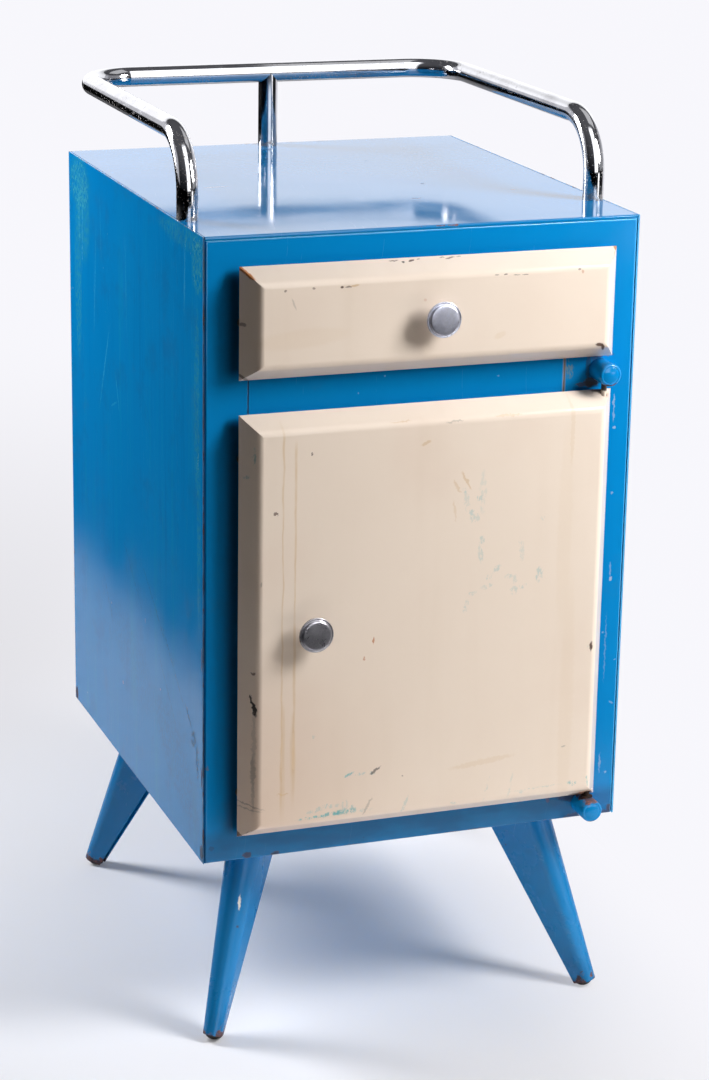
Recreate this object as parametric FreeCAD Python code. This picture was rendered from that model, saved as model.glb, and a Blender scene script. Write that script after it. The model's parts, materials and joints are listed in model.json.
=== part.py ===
import FreeCAD, Part
import math
import os

from FreeCAD import Vector

os.makedirs("parts", exist_ok=True)

# Sheet-steel bedside cabinet on four splayed legs: one drawer, one pivot-hung
# door and a chromed gallery rail. Millimetres, +Z up, the front faces -Y.
# The origin lies on the floor, in the middle of the whole object's box.

# ---------------------------------------------------------------- sizes
# Cabinet box
cabinet_width = 400.0
cabinet_depth = 450.0
cabinet_height = 565.0
leg_height = 181.0
sheet = 1.2              # body sheet
seam = 0.8               # groove between the side panels and what they hold
fit_gap = 0.3            # gap between pieces of different bodies
weld_gap = 0.2           # hairline between pieces welded side by side
flange = 15.0            # width of the turned edges
bend = 2.0               # outside radius of the folds
weld_lap_start = 4.0     # the groove is filled from here on, where the sheets are welded
top_lip = 3.0            # height of the top sheet's rolled front edge

# Face frame and its openings
left_stile = 40.0
right_stile = 67.0
top_rail_height = 37.0
bottom_rail_height = 35.0
drawer_opening_height = 77.0
middle_rail_height = 50.0

# Drawer front and door: folded pans that stand off the face frame
pan_left = 29.6          # from the cabinet's left side to the pans' left rim
pan_margin_right = 24.4  # from the pans' right rim to the cabinet's right side
pan_gap = 6.5            # from the face frame to the pans' rims
pan_depth = 18.5
pan_bevel = 13.0         # width of the sloping border
pan_round = 8.0          # outside radius between border and flat
pan_sheet = 1.0
pan_flange = 16.0        # flange turned in along the rim
drawer_front_drop = 25.3  # from the cabinet's top to the drawer front
drawer_front_height = 98.0
door_bottom_rise = 25.5  # from the cabinet's bottom to the door
door_drop = 30.2         # from the drawer front to the door
inner_sheet = 0.8        # sheet of the drawer box and of the inner panels
inner_inset = 11.5       # from the rim to the inner panel's edge

# Drawer box
drawer_side_gap = 3.0
drawer_box_length = 390.0
drawer_top_gap = 4.2     # from the drawer box to the top of its opening
drawer_travel = 280.0
drawer_flange = 10.0
hem = 2.4                # thickness of the folded top edge
runner_sheet = 1.5
runner_height = 14.0
runner_width = 12.0
runner_play = 0.8
stop_tab_length = 12.0
stop_tab_reach = 3.8     # how far the stop tabs rise past the opening's top

# Pull knobs
knob_radius = 15.5
knob_stand = 16.0        # from the pan's flat to the knob's rim
knob_foot_radius = 7.0
knob_neck_radius = 5.0
knob_rim_radius = 2.4
knob_dish = 0.7
knob_head_depth = 6.0
knob_screw_radius = 2.0
knob_screw_depth = 9.0
door_knob_inset = 61.5   # from the door's left rim

# Pivot hinge
pivot_inset = 8.5        # from the pans' right rim to the pivot axis
pivot_out = 11.0         # from the face frame to the pivot axis
pin_radius = 2.5
pin_play = 0.05          # radial play of the pin in the pivot block
pin_hole_margin = 0.7    # the clear hole round the pin in the door's skin
pin_engagement = 18.0
pin_root = 6.0           # how far the pin goes into its post past the post's axis
post_radius = 10.25
post_length = 25.0
post_round = 2.2
upper_post_drop = 3.6    # from the drawer front's lower rim to the upper post
stud_radius = 4.0
stud_length = 10.0
nut_height = 5.0
thrust_washer = 0.6
thrust_washer_radius = 5.5
block_width = 20.0
block_height = 26.0
block_depth = 11.0

# Gallery rail
tube_radius = 9.5
tube_wall = 1.5
rail_side_inset = 9.8    # tube axis from the side panels
rail_rear_inset = 10.5   # tube axis from the back
rail_front_inset = 79.0  # front post's axis from the front
rail_height = 71.7       # tube axis above the top
rail_bend = 50.0         # bend radius of the tube's axis
rail_stud_radius = 3.0
rail_stud_drop = 14.0
rail_plug_height = 20.0
rail_nut_height = 5.0

# Legs: folded, tapered, open towards the cabinet's middle
leg_sheet = 1.5
leg_top_inset = 61.2     # nose centre from both sides, at the cabinet's bottom
leg_foot_inset = 12.0    # nose centre from both sides, near the floor
leg_top_nose = 17.5      # nose radius at the top
leg_foot_nose = 8.8
leg_top_wing = 49.5      # length of the flat wings at the top
leg_foot_wing = 9.0
leg_top_close = 7.0      # degrees that each wing leans to the other, at the top
leg_foot_close = 22.0
leg_throat = 14.0        # the fold is drawn this far below the floor, then cut off
leg_plate = 3.0
leg_plate_side = 96.0
leg_plate_inset = 17.0
leg_bolt_radius = 2.5
leg_bolt_edge = 11.0
leg_bolt_offset = 19.0
glide_radius = 10.0      # radius of the glide's dome
glide_rise = 5.6         # from the dome's centre to the end of the leg
glide_stem_radius = 6.0
glide_stem_height = 13.0
glide_wear = 0.4         # depth of the dome worn flat

# Inside the compartment
shelf_share = 0.5        # height of the shelf in the door opening
shelf_sheet = 1.2
shelf_lip = 18.0
shelf_play = 1.0
bracket_sheet = 1.5
bracket_width = 15.0

# Catch, buffers and small screws
catch_width = 14.0
catch_height = 34.0
catch_depth = 18.0
catch_reach = 3.9        # from the face frame to the catch's front
pole_sheet = 1.5
pole_height = 24.0
pole_proud = 0.5
strike_sheet = 1.0
buffer_radius = 5.0
buffer_rise = 40.0       # from the door's corners to the buffers
screw_radius = 1.9
screw_head_radius = 3.4
screw_length = 7.0

# ---------------------------------------------------------------- places
knob_reach = pan_gap + pan_depth + knob_stand
front = (knob_reach - cabinet_depth) / 2
back = front + cabinet_depth
left = -cabinet_width / 2
right = cabinet_width / 2
base = leg_height
top = base + cabinet_height

open_left = left + left_stile
open_right = right - right_stile
open_bottom = base + bottom_rail_height
open_top = top - top_rail_height
rail_top = open_top - drawer_opening_height
rail_bottom = rail_top - middle_rail_height

pan_right = right - pan_margin_right
pan_width = pan_right - left - pan_left
rim = front - pan_gap
face = rim - pan_depth
drawer_front_top = top - drawer_front_drop
drawer_front_bottom = drawer_front_top - drawer_front_height
door_bottom = base + door_bottom_rise
door_top = drawer_front_bottom - door_drop
door_height = door_top - door_bottom
door_middle = (door_bottom + door_top) / 2

inner_left = left + sheet + seam
inner_right = right - sheet - seam
inner_back = back - 2 * sheet
floor_top = base + 2 * sheet

pivot_x = pan_right - pivot_inset
pivot_y = front - pivot_out
upper_post_z = drawer_front_bottom - upper_post_drop - post_radius
lower_post_z = door_bottom - fit_gap - thrust_washer - post_radius

rail_y = front + rail_front_inset
rail_back_y = back - rail_rear_inset
rail_x = cabinet_width / 2 - rail_side_inset
rail_z = top + rail_height

drawer_middle = (open_left + open_right) / 2
drawer_half = (open_right - open_left) / 2 - drawer_side_gap
drawer_floor = rail_top + runner_sheet + fit_gap
drawer_box_front = rim + inner_sheet
drawer_box_back = front + drawer_box_length
door_rear = rim + inner_sheet


# ---------------------------------------------------------------- helpers
def box(x0, x1, y0, y1, z0, z1):
    return Part.makeBox(x1 - x0, y1 - y0, z1 - z0, Vector(x0, y0, z0))


def rod(radius, start, direction, length):
    return Part.makeCylinder(radius, length, start, direction)


def join(first, *others):
    return first.multiFuse(list(others)).removeSplitter()


def hexagon(across_flats, height, centre, direction):
    """Hexagonal nut or head that grows from centre along direction."""
    radius = across_flats / math.sqrt(3)
    ring = [Vector(radius * math.cos(math.radians(60 * k + 30)),
                   radius * math.sin(math.radians(60 * k + 30)), 0) for k in range(7)]
    prism = Part.Face(Part.makePolygon(ring)).extrude(Vector(0, 0, height))
    prism.Placement = FreeCAD.Placement(centre, FreeCAD.Rotation(Vector(0, 0, 1), direction))
    return prism


def edges_on(shape, test):
    """Straight edges of a shape whose two ends both pass the test."""
    return [edge for edge in shape.Edges
            if len(edge.Vertexes) == 2 and all(test(v.Point) for v in edge.Vertexes)]


def near(value, target):
    return abs(value - target) < 1e-4


def save(name, *shapes):
    shape = shapes[0] if len(shapes) == 1 else Part.makeCompound(list(shapes))
    shape.exportStep("parts/%s.step" % name)


# ---------------------------------------------------------------- cabinet shell
def side_panel(side):
    """Flat side sheet with flanges for the back panel and the bottom."""
    outer = side * cabinet_width / 2
    skin = outer - side * sheet
    lip = outer - side * flange
    wall = box(min(outer, skin), max(outer, skin), front, back, base, top)
    x0, x1 = min(outer, lip), max(outer, lip)
    rear = box(x0, x1, back - 2 * sheet, back - sheet, base, top - bend - sheet)
    foot = box(x0, x1, front + flange + seam, back - sheet, base, base + sheet)
    panel = join(wall, rear, foot)
    corner = edges_on(panel, lambda p: near(p.x, outer) and near(p.z, base))
    panel = panel.makeFillet(sheet * 0.8, corner)
    for z in back_screw_heights():
        hole = back_screw(side, z, screw_radius + weld_gap / 2)
        panel = panel.cut(hole)
    return panel


def back_screw_heights():
    margin = cabinet_height / 8
    return [base + margin + k * (cabinet_height - 2 * margin) / 2 for k in range(3)]


def back_screw(side, z, radius):
    x = side * (cabinet_width / 2 - flange / 2)
    return rod(radius, Vector(x, back - screw_length, z), Vector(0, 1, 0), screw_length)


def screw_head(side, z, margin):
    x = side * (cabinet_width / 2 - flange / 2)
    return Part.makeCone(screw_radius + margin, screw_head_radius + margin, sheet,
                         Vector(x, back - sheet, z), Vector(0, 1, 0))


def make_back():
    panel = box(inner_left, inner_right, back - sheet, back, base, top - sheet - weld_gap)
    screws = []
    for side in (-1, 1):
        for z in back_screw_heights():
            panel = panel.cut(screw_head(side, z, weld_gap / 2))
            screws.append(join(back_screw(side, z, screw_radius), screw_head(side, z, 0)))
    save("back_panel", panel)
    save("back_panel_screws", *screws)


def make_top():
    """Top sheet: rolled over the front, turned down at the sides and the rear."""
    sheet_top = box(inner_left, inner_right, front, back, top - top_lip, top)
    hollow = box(inner_left, inner_right, front + sheet, back, top - top_lip, top - sheet)
    panel = sheet_top.cut(hollow)
    sides = [box(inner_left, inner_left + sheet, front + sheet, back - 2 * sheet, top - flange, top),
             box(inner_right - sheet, inner_right, front + sheet, back - 2 * sheet, top - flange, top)]
    notch = box(left, right, front + sheet, front + flange + seam, top - flange, top - sheet)
    rear = box(inner_left, inner_right, back - 2 * sheet, back - sheet, top - flange, top)
    rear = rear.cut(box(left, left + flange + weld_gap, back - 2 * sheet, back, base, top - sheet))
    rear = rear.cut(box(right - flange - weld_gap, right, back - 2 * sheet, back, base, top - sheet))
    sides += [box(left + sheet, inner_left, front + sheet, back - 2 * sheet,
                  top - flange, top - weld_lap_start),
              box(inner_right, right - sheet, front + sheet, back - 2 * sheet,
                  top - flange, top - weld_lap_start)]
    shelter = [box(left, left + flange, back - 2 * sheet, back, base, top),
               box(right - flange, right, back - 2 * sheet, back, base, top)]
    panel = join(panel, *[piece.cut(notch).cut(shelter[0]).cut(shelter[1]) for piece in sides], rear)
    rolled = edges_on(panel, lambda p: near(p.y, front) and near(p.z, top))
    panel = panel.makeFillet(bend, rolled)
    for x, y in rail_feet():
        hole = rod(rail_stud_radius + weld_gap, Vector(x, y, top - top_lip), Vector(0, 0, 1), top_lip)
        panel = panel.cut(hole)
    save("top_panel", panel)


def make_bottom():
    edge = sheet + seam + sheet + weld_gap
    panel = box(left + edge, right - edge, front + sheet + weld_gap, inner_back - weld_gap,
                base + sheet, floor_top)
    for centre, _ in leg_bolts():
        panel = panel.cut(rod(leg_bolt_radius + weld_gap, Vector(centre.x, centre.y, base),
                              Vector(0, 0, 1), flange))
    save("bottom_panel", panel)


def make_face_frame():
    """One pressing: a ring round the openings, every edge turned back."""
    crown = top - top_lip
    tray = box(inner_left, inner_right, front, front + flange, base, crown)
    rolled = edges_on(tray, lambda p: near(p.y, front) and p.z < crown - 1)
    rolled += edges_on(tray, lambda p: near(p.y, front) and near(abs(p.x), inner_right))
    unique = {edge.hashCode(): edge for edge in rolled}
    tray = tray.makeFillet(bend, list(unique.values()))
    tray = tray.cut(box(inner_left + sheet, inner_right - sheet, front + sheet, front + flange,
                        base + sheet, crown - sheet))
    returns = box(open_left - sheet, open_right + sheet, front, front + flange,
                  open_bottom - sheet, open_top + sheet)
    mouth = box(open_left, open_right, front, front + flange, open_bottom, open_top)
    frame = join(tray, returns).cut(mouth)
    lips = edges_on(frame, lambda p: near(p.y, front)
                    and open_left - 1 < p.x < open_right + 1 and open_bottom - 1 < p.z < open_top + 1)
    frame = frame.makeFillet(sheet * 0.9, lips)
    laps = [box(left + sheet, inner_left, front + weld_lap_start, front + flange, base + sheet, crown),
            box(inner_right, right - sheet, front + weld_lap_start, front + flange, base + sheet, crown)]
    frame = join(frame, *laps)
    for _, hole in catch_screw_shanks():
        frame = frame.cut(hole)
    for z in (upper_post_z, lower_post_z):
        frame = frame.cut(rod(stud_radius + weld_gap, Vector(pivot_x, front, z), Vector(0, 1, 0), sheet))
    save("face_frame", frame)


def make_middle_rail():
    """Channel between the stiles, under the drawer and above the door."""
    x0 = open_left
    x1 = open_right
    rail = box(x0, x1, front, front + flange, rail_bottom, rail_top)
    rolled = [e for e in rail.Edges if near(e.BoundBox.YMax, front) and e.BoundBox.XLength > flange]
    rail = rail.makeFillet(bend, rolled)
    rail = rail.cut(box(x0, x1, front + sheet, front + flange, rail_bottom + sheet, rail_top - sheet))
    for x in (x0, x1):
        rail = rail.cut(box(x - seam / 2, x + seam / 2, front, front + weld_lap_start, rail_bottom, rail_top))
    save("middle_rail", rail)


# ---------------------------------------------------------------- inside
def make_deck_and_runners():
    """Sheet under the drawer, with an angle on it at each side of the drawer."""
    y0 = front + flange
    y1 = inner_back - weld_gap
    x0 = left + sheet
    deck = box(x0, -x0, y0, y1, rail_top - sheet, rail_top)
    for x in (x0, -x0 - sheet):
        deck = deck.fuse(box(x, x + sheet, y0, y1, rail_top - flange, rail_top))
    save("drawer_deck", deck.removeSplitter())
    for side, name in ((-1, "drawer_runner_left"), (1, "drawer_runner_right")):
        guide = drawer_middle + side * (drawer_half + runner_play)
        outer = guide + side * runner_sheet
        inner = outer - side * runner_width
        foot = box(min(inner, outer), max(inner, outer), y0, y1, rail_top, rail_top + runner_sheet)
        wall = box(min(guide, outer), max(guide, outer), y0, y1, rail_top, rail_top + runner_height)
        save(name, join(foot, wall))


def make_shelf():
    shelf_z = open_bottom + shelf_share * (rail_bottom - open_bottom)
    edge = sheet + shelf_play
    y0 = front + flange + shelf_play
    y1 = inner_back - shelf_play
    board = box(left + edge, right - edge, y0, y1, shelf_z, shelf_z + shelf_sheet)
    lip = box(left + edge + bracket_width, right - edge - bracket_width, y0, y0 + shelf_sheet,
              shelf_z + shelf_sheet - shelf_lip, shelf_z + shelf_sheet)
    shelf = join(board, lip)
    rolled = [e for e in shelf.Edges if near(e.BoundBox.YMax, y0) and near(e.BoundBox.ZMin, shelf_z + shelf_sheet)]
    save("shelf", shelf.makeFillet(shelf_sheet * 0.8, rolled))
    for side, name in ((-1, "shelf_bracket_left"), (1, "shelf_bracket_right")):
        outer = side * (cabinet_width / 2 - sheet)
        web = outer - side * bracket_sheet
        tip = outer - side * bracket_width
        arm = box(min(outer, tip), max(outer, tip), y0, y1, shelf_z - bracket_sheet, shelf_z)
        leaf = box(min(outer, web), max(outer, web), y0, y1, shelf_z - bracket_width, shelf_z)
        save(name, join(arm, leaf))


# ---------------------------------------------------------------- pans
def pan_profile(length, depth, bevel, radius):
    """Corners of a pan's section: u along the width, v out of the rim plane."""
    lean = math.atan2(depth, bevel)
    tangent = radius * math.tan(lean / 2)
    on_bevel = Vector(bevel - tangent * math.cos(lean), depth - tangent * math.sin(lean), 0)
    on_flat = Vector(bevel + tangent, depth, 0)
    centre = Vector(on_flat.x, depth - radius, 0)
    half = math.pi / 2 + lean / 2
    middle = centre + Vector(radius * math.cos(half), radius * math.sin(half), 0)
    mirror = lambda p: Vector(length - p.x, p.y, 0)
    return [Part.LineSegment(Vector(0, 0, 0), on_bevel).toShape(),
            Part.Arc(on_bevel, middle, on_flat).toShape(),
            Part.LineSegment(on_flat, mirror(on_flat)).toShape(),
            Part.Arc(mirror(on_flat), mirror(middle), mirror(on_bevel)).toShape(),
            Part.LineSegment(mirror(on_bevel), mirror(Vector(0, 0, 0))).toShape(),
            Part.LineSegment(mirror(Vector(0, 0, 0)), Vector(0, 0, 0)).toShape()]


def pan_body(width, height, depth, bevel, radius):
    """Block with four sloping borders, mitred at the corners.

    It stands on the XZ plane with its corner at the origin and its flat at -depth.
    """
    across = Part.Face(Part.Wire(pan_profile(width, depth, bevel, radius)))
    across = across.extrude(Vector(0, 0, height))
    across.rotate(Vector(0, 0, 0), Vector(1, 0, 0), 0)
    across = across.mirror(Vector(0, 0, 0), Vector(0, 1, 0))
    along = Part.Face(Part.Wire(pan_profile(height, depth, bevel, radius)))
    along = along.extrude(Vector(0, 0, width))
    turn = FreeCAD.Matrix(0, 0, 1, 0, 0, -1, 0, 0, 1, 0, 0, 0, 0, 0, 0, 1)
    along = along.transformGeometry(turn)
    return across.common(along)


def pan(bottom, height):
    """Outer block and cavity of a pan whose rim's lower edge is at bottom."""
    slope = math.hypot(pan_depth, pan_bevel)
    shift = pan_sheet * slope / pan_depth
    depth = pan_depth - pan_sheet
    bevel = pan_bevel * depth / pan_depth
    outer = pan_body(pan_width, height, pan_depth, pan_bevel, pan_round)
    cavity = pan_body(pan_width - 2 * shift, height - 2 * shift, depth, bevel, pan_round - pan_sheet)
    outer.translate(Vector(left + pan_left, rim, bottom))
    cavity.translate(Vector(left + pan_left + shift, rim, bottom + shift))
    return outer, cavity


def pan_skin(bottom, height):
    """Sheet pan: flat, borders and the flange turned in along the rim."""
    outer, cavity = pan(bottom, height)
    rear = box(left + pan_left, pan_right, rim - pan_sheet, rim, bottom, bottom + height)
    window = box(left + pan_left + pan_flange, pan_right - pan_flange, rim - pan_sheet, rim,
                 bottom + pan_flange, bottom + height - pan_flange)
    turned = cavity.common(rear).cut(window)
    return join(outer.cut(cavity), turned), cavity


def inner_panel(bottom, height):
    return box(left + pan_left + inner_inset, pan_right - inner_inset, rim, door_rear,
               bottom + inner_inset, bottom + height - inner_inset)


def rim_screws(bottom, height):
    """Flat-head screws that hold an inner panel to the rim flange."""
    inset = (inner_inset + pan_flange) / 2
    places = [(x, z) for x in (left + pan_left + inset, pan_right - inset)
              for z in (bottom + height / 5, bottom + height * 4 / 5)]
    return [(x, z, rod(screw_radius / 2, Vector(x, door_rear - screw_length / 2, z), Vector(0, 1, 0),
                       screw_length / 2)) for x, z in places]


# ---------------------------------------------------------------- knobs
def knob(x, z):
    """Turned mushroom knob with a beaded rim and a slightly dished face."""
    stand = knob_stand
    edge = knob_radius - knob_rim_radius
    shoulder = stand - knob_head_depth
    points = [Vector(0, 0, 0), Vector(knob_foot_radius, 0, 0), Vector(knob_foot_radius, 1.2, 0)]
    segments = [Part.LineSegment(a, b).toShape() for a, b in zip(points, points[1:])]
    neck_low = Vector(knob_neck_radius, 2.8, 0)
    neck_high = Vector(knob_neck_radius, shoulder - 3, 0)
    under = Vector(knob_radius - 1.0, shoulder + 1.0, 0)
    side = Vector(knob_radius, stand - knob_rim_radius - 1.0, 0)
    crest = Vector(edge, stand, 0)
    dish = Vector(edge - knob_rim_radius, stand - knob_dish, 0)
    centre = Vector(0, stand - knob_dish / 3, 0)
    lean = knob_rim_radius * math.sqrt(0.5)
    segments += [
        Part.Arc(points[-1], Vector(knob_neck_radius + 0.6, 1.9, 0), neck_low).toShape(),
        Part.LineSegment(neck_low, neck_high).toShape(),
        Part.Arc(neck_high, Vector(knob_neck_radius + 2.4, shoulder - 0.2, 0), under).toShape(),
        Part.LineSegment(under, side).toShape(),
        Part.Arc(side, Vector(edge + lean, stand - knob_rim_radius + lean + 0.1, 0), crest).toShape(),
        Part.Arc(crest, Vector(edge - knob_rim_radius / 2, stand - knob_dish * 0.6, 0), dish).toShape(),
        Part.LineSegment(dish, centre).toShape(),
        Part.LineSegment(centre, points[0]).toShape()]
    body = Part.Face(Part.Wire(segments)).revolve(Vector(0, 0, 0), Vector(0, 1, 0), 360)
    body = body.cut(rod(knob_screw_radius, Vector(0, 0, 0), Vector(0, 1, 0), knob_screw_depth))
    body = body.mirror(Vector(0, 0, 0), Vector(0, 1, 0))
    body.translate(Vector(x, face, z))
    return body


def knob_screw(x, z):
    shank = rod(knob_screw_radius, Vector(x, face - knob_screw_depth, z), Vector(0, 1, 0),
                knob_screw_depth + pan_sheet)
    head = rod(2 * knob_screw_radius, Vector(x, face + pan_sheet, z), Vector(0, 1, 0), knob_screw_radius)
    return join(shank, head)


def knob_hole(x, z):
    return rod(knob_screw_radius, Vector(x, face, z), Vector(0, 1, 0), pan_sheet)


# ---------------------------------------------------------------- drawer
def make_drawer():
    skin, _ = pan_skin(drawer_front_bottom, drawer_front_height)
    x = left + pan_left + pan_width / 2
    z = drawer_front_bottom + drawer_front_height / 2
    panel = inner_panel(drawer_front_bottom, drawer_front_height)
    screws = rim_screws(drawer_front_bottom, drawer_front_height)
    for _, _, screw in screws:
        skin = skin.cut(screw)
        panel = panel.cut(screw)
    save("drawer_front", skin.cut(knob_hole(x, z)))
    save("drawer_front_inner", panel)
    save("drawer_front_screws", *[screw for _, _, screw in screws])
    save("drawer_knob", knob(x, z))
    save("drawer_knob_screw", knob_screw(x, z))

    crown = open_top - drawer_top_gap
    tab_top = open_top + stop_tab_reach
    tab_front = front + flange + fit_gap + drawer_travel
    for side, name in ((-1, "drawer_side_left"), (1, "drawer_side_right")):
        outer = drawer_middle + side * drawer_half

        def strip(width):
            inner = outer - side * width
            return min(outer, inner), max(outer, inner)

        wall = box(*strip(inner_sheet), drawer_box_front, drawer_box_back, drawer_floor, crown)
        fold = box(*strip(hem), drawer_box_front, drawer_box_back, crown - drawer_flange, crown)
        foot = box(*strip(drawer_flange), drawer_box_front, drawer_box_back,
                   drawer_floor, drawer_floor + inner_sheet)
        ear = box(*strip(drawer_flange), drawer_box_front, drawer_box_front + inner_sheet,
                  drawer_floor, crown)
        tab = box(*strip(inner_sheet), tab_front, tab_front + stop_tab_length, crown, tab_top)
        save(name, join(wall, fold, foot, ear, tab))
    x0 = drawer_middle - drawer_half
    x1 = drawer_middle + drawer_half
    save("drawer_bottom", box(x0 + inner_sheet, x1 - inner_sheet, drawer_box_front + inner_sheet,
                              drawer_box_back - inner_sheet, drawer_floor + inner_sheet,
                              drawer_floor + 2 * inner_sheet))
    save("drawer_back", box(x0 + hem, x1 - hem, drawer_box_back - inner_sheet, drawer_box_back,
                            drawer_floor + inner_sheet, crown))


# ---------------------------------------------------------------- door
def pivot_block(cavity, low):
    """Wedge of steel in the pan's corner that turns on the hinge pin."""
    rough = box(pan_right - pan_flange - block_width / 2, pan_right, rim - pan_sheet - block_depth,
                rim - pan_sheet, low, low + block_height)
    inner = cavity.copy()
    bore = rod(pin_radius + pin_play, Vector(pivot_x, pivot_y, low - block_height), Vector(0, 0, 1),
               3 * block_height)
    return rough.common(inner).cut(bore)


def make_door():
    skin, cavity = pan_skin(door_bottom, door_height)
    x = left + pan_left + door_knob_inset
    z = door_middle
    skin = skin.cut(knob_hole(x, z))
    clear = pin_radius + pin_hole_margin
    for low in (door_bottom - post_radius, door_top - post_radius):
        skin = skin.cut(rod(clear, Vector(pivot_x, pivot_y, low), Vector(0, 0, 1), 2 * post_radius))
    panel = inner_panel(door_bottom, door_height)
    screws = rim_screws(door_bottom, door_height)
    for _, _, screw in screws:
        skin = skin.cut(screw)
        panel = panel.cut(screw)
    save("door_skin", skin)
    save("door_inner_panel", panel)
    save("door_panel_screws", *[screw for _, _, screw in screws])
    save("door_knob", knob(x, z))
    save("door_knob_screw", knob_screw(x, z))
    save("pivot_block_upper", pivot_block(cavity, door_top - block_height))
    save("pivot_block_lower", pivot_block(cavity, door_bottom))
    save("catch_strike", box(open_left + weld_gap, open_left + catch_width, door_rear,
                             door_rear + strike_sheet, door_middle - catch_height / 2,
                             door_middle + catch_height / 2))


# ---------------------------------------------------------------- hinge posts
def hinge_post(z, pin_side):
    """Round bar on the stile; a threaded stud holds it, a blind hole takes the pin."""
    bar = rod(post_radius, Vector(pivot_x, front, z), Vector(0, -1, 0), post_length)
    tip = [e for e in bar.Edges if near(e.BoundBox.YMax, front - post_length)]
    bar = bar.makeFillet(post_round, tip)
    stud = rod(stud_radius, Vector(pivot_x, front, z), Vector(0, 1, 0), stud_length)
    hole = rod(pin_radius, Vector(pivot_x, pivot_y, z - pin_side * pin_root), Vector(0, 0, pin_side),
               pin_root + post_radius)
    return join(bar, stud).cut(hole)


def hinge_pin(z, pin_side, door_edge):
    start = z - pin_side * pin_root
    length = abs(door_edge + pin_side * pin_engagement - start)
    return rod(pin_radius, Vector(pivot_x, pivot_y, start), Vector(0, 0, pin_side), length)


def make_hinge():
    save("hinge_post_upper", hinge_post(upper_post_z, -1))
    save("hinge_post_lower", hinge_post(lower_post_z, 1))
    save("hinge_pin_upper", hinge_pin(upper_post_z, -1, door_top))
    save("hinge_pin_lower", hinge_pin(lower_post_z, 1, door_bottom))
    nuts = []
    for z in (upper_post_z, lower_post_z):
        seat = Vector(pivot_x, front + sheet, z)
        nut = hexagon(3.2 * stud_radius, nut_height, seat, Vector(0, 1, 0))
        nuts.append(nut.cut(rod(stud_radius, seat, Vector(0, 1, 0), nut_height)))
    save("hinge_post_nuts", *nuts)
    seat = Vector(pivot_x, pivot_y, lower_post_z + post_radius)
    washer = rod(thrust_washer_radius, seat, Vector(0, 0, 1), thrust_washer)
    save("thrust_washer", washer.cut(rod(pin_radius, seat, Vector(0, 0, 1), thrust_washer)))


# ---------------------------------------------------------------- catch and buffers
def catch_screw_shanks():
    """The catch's two screws, put in from inside the stile."""
    reach = sheet + catch_width / 2 - 2 * pole_sheet
    places = [Vector(open_left - sheet, front + flange / 2, z)
              for z in (door_middle - catch_height / 2 + screw_head_radius,
                        door_middle + catch_height / 2 - screw_head_radius)]
    return [(at, rod(screw_radius / 2, at, Vector(1, 0, 0), reach)) for at in places]


def make_catch():
    """Magnet between two pole plates in a housing on the left stile."""
    x0, x1 = open_left, open_left + catch_width
    y0 = front - catch_reach
    y1 = y0 + catch_depth
    half = catch_height / 2
    housing = box(x0, x1, y0, y1, door_middle - half, door_middle + half)
    pole_tip = door_rear + strike_sheet + fit_gap
    pole_half = pole_height / 2
    magnet_left = x0 + catch_width / 2 - pole_sheet
    magnet_right = x0 + catch_width / 2 + pole_sheet
    magnet = box(magnet_left, magnet_right, y0 + pole_proud, y1 - pole_sheet,
                 door_middle - pole_half, door_middle + pole_half)
    poles = [box(x, x + pole_sheet, pole_tip, y1 - pole_sheet, door_middle - pole_half,
                 door_middle + pole_half) for x in (magnet_left - pole_sheet, magnet_right)]
    housing = housing.cut(box(magnet_left - pole_sheet, magnet_right + pole_sheet, y0, y1 - pole_sheet,
                              door_middle - pole_half, door_middle + pole_half))
    screws = []
    for at, shank in catch_screw_shanks():
        screws.append(join(shank, rod(screw_radius, at, Vector(-1, 0, 0), screw_radius)))
        housing = housing.cut(shank)
    save("catch_housing", housing)
    save("catch_magnet", magnet)
    save("catch_pole_plates", *poles)
    save("catch_screws", *screws)


def buffers(places):
    return [rod(buffer_radius, Vector(x, front, z), Vector(0, -1, 0), pan_gap - fit_gap) for x, z in places]


def make_buffers():
    """Rubber buttons on the stiles that the closed door and drawer rest against."""
    x0 = left + pan_left + buffer_radius + fit_gap
    x1 = pan_right - buffer_radius - fit_gap
    save("door_buffers", *buffers([(x0, door_bottom + buffer_rise), (x0, door_top - buffer_rise)]))
    z = drawer_front_bottom + drawer_front_height / 2
    save("drawer_buffers", *buffers([(x0, z), (x1, z)]))


# ---------------------------------------------------------------- gallery rail
def rail_feet():
    return [(-rail_x, rail_y), (rail_x, rail_y), (0, rail_back_y)]


def tube_ring(centre, direction, radius):
    return Part.Wire(Part.makeCircle(radius, centre, direction))


def tube_run(start, end, radius):
    return rod(radius, start, end - start, (end - start).Length)


def tube_bend(start, direction, centre, axis, radius):
    disc = Part.Face(tube_ring(start, direction, radius))
    return disc.revolve(centre, axis, 90)


def rail_solid(radius):
    """The bent tube as a solid bar of the given radius."""
    r = rail_bend
    pieces = []
    for side in (-1, 1):
        x = side * rail_x
        pieces.append(tube_run(Vector(x, rail_y, top), Vector(x, rail_y, rail_z - r), radius))
        pieces.append(tube_bend(Vector(x, rail_y, rail_z - r), Vector(0, 0, 1),
                                Vector(x, rail_y + r, rail_z - r), Vector(-1, 0, 0), radius))
        pieces.append(tube_run(Vector(x, rail_y + r, rail_z), Vector(x, rail_back_y - r, rail_z), radius))
        pieces.append(tube_bend(Vector(x, rail_back_y - r, rail_z), Vector(0, 1, 0),
                                Vector(x - side * r, rail_back_y - r, rail_z), Vector(0, 0, side), radius))
    pieces.append(tube_run(Vector(-rail_x + r, rail_back_y, rail_z), Vector(rail_x - r, rail_back_y, rail_z),
                           radius))
    return join(*pieces)


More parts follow.
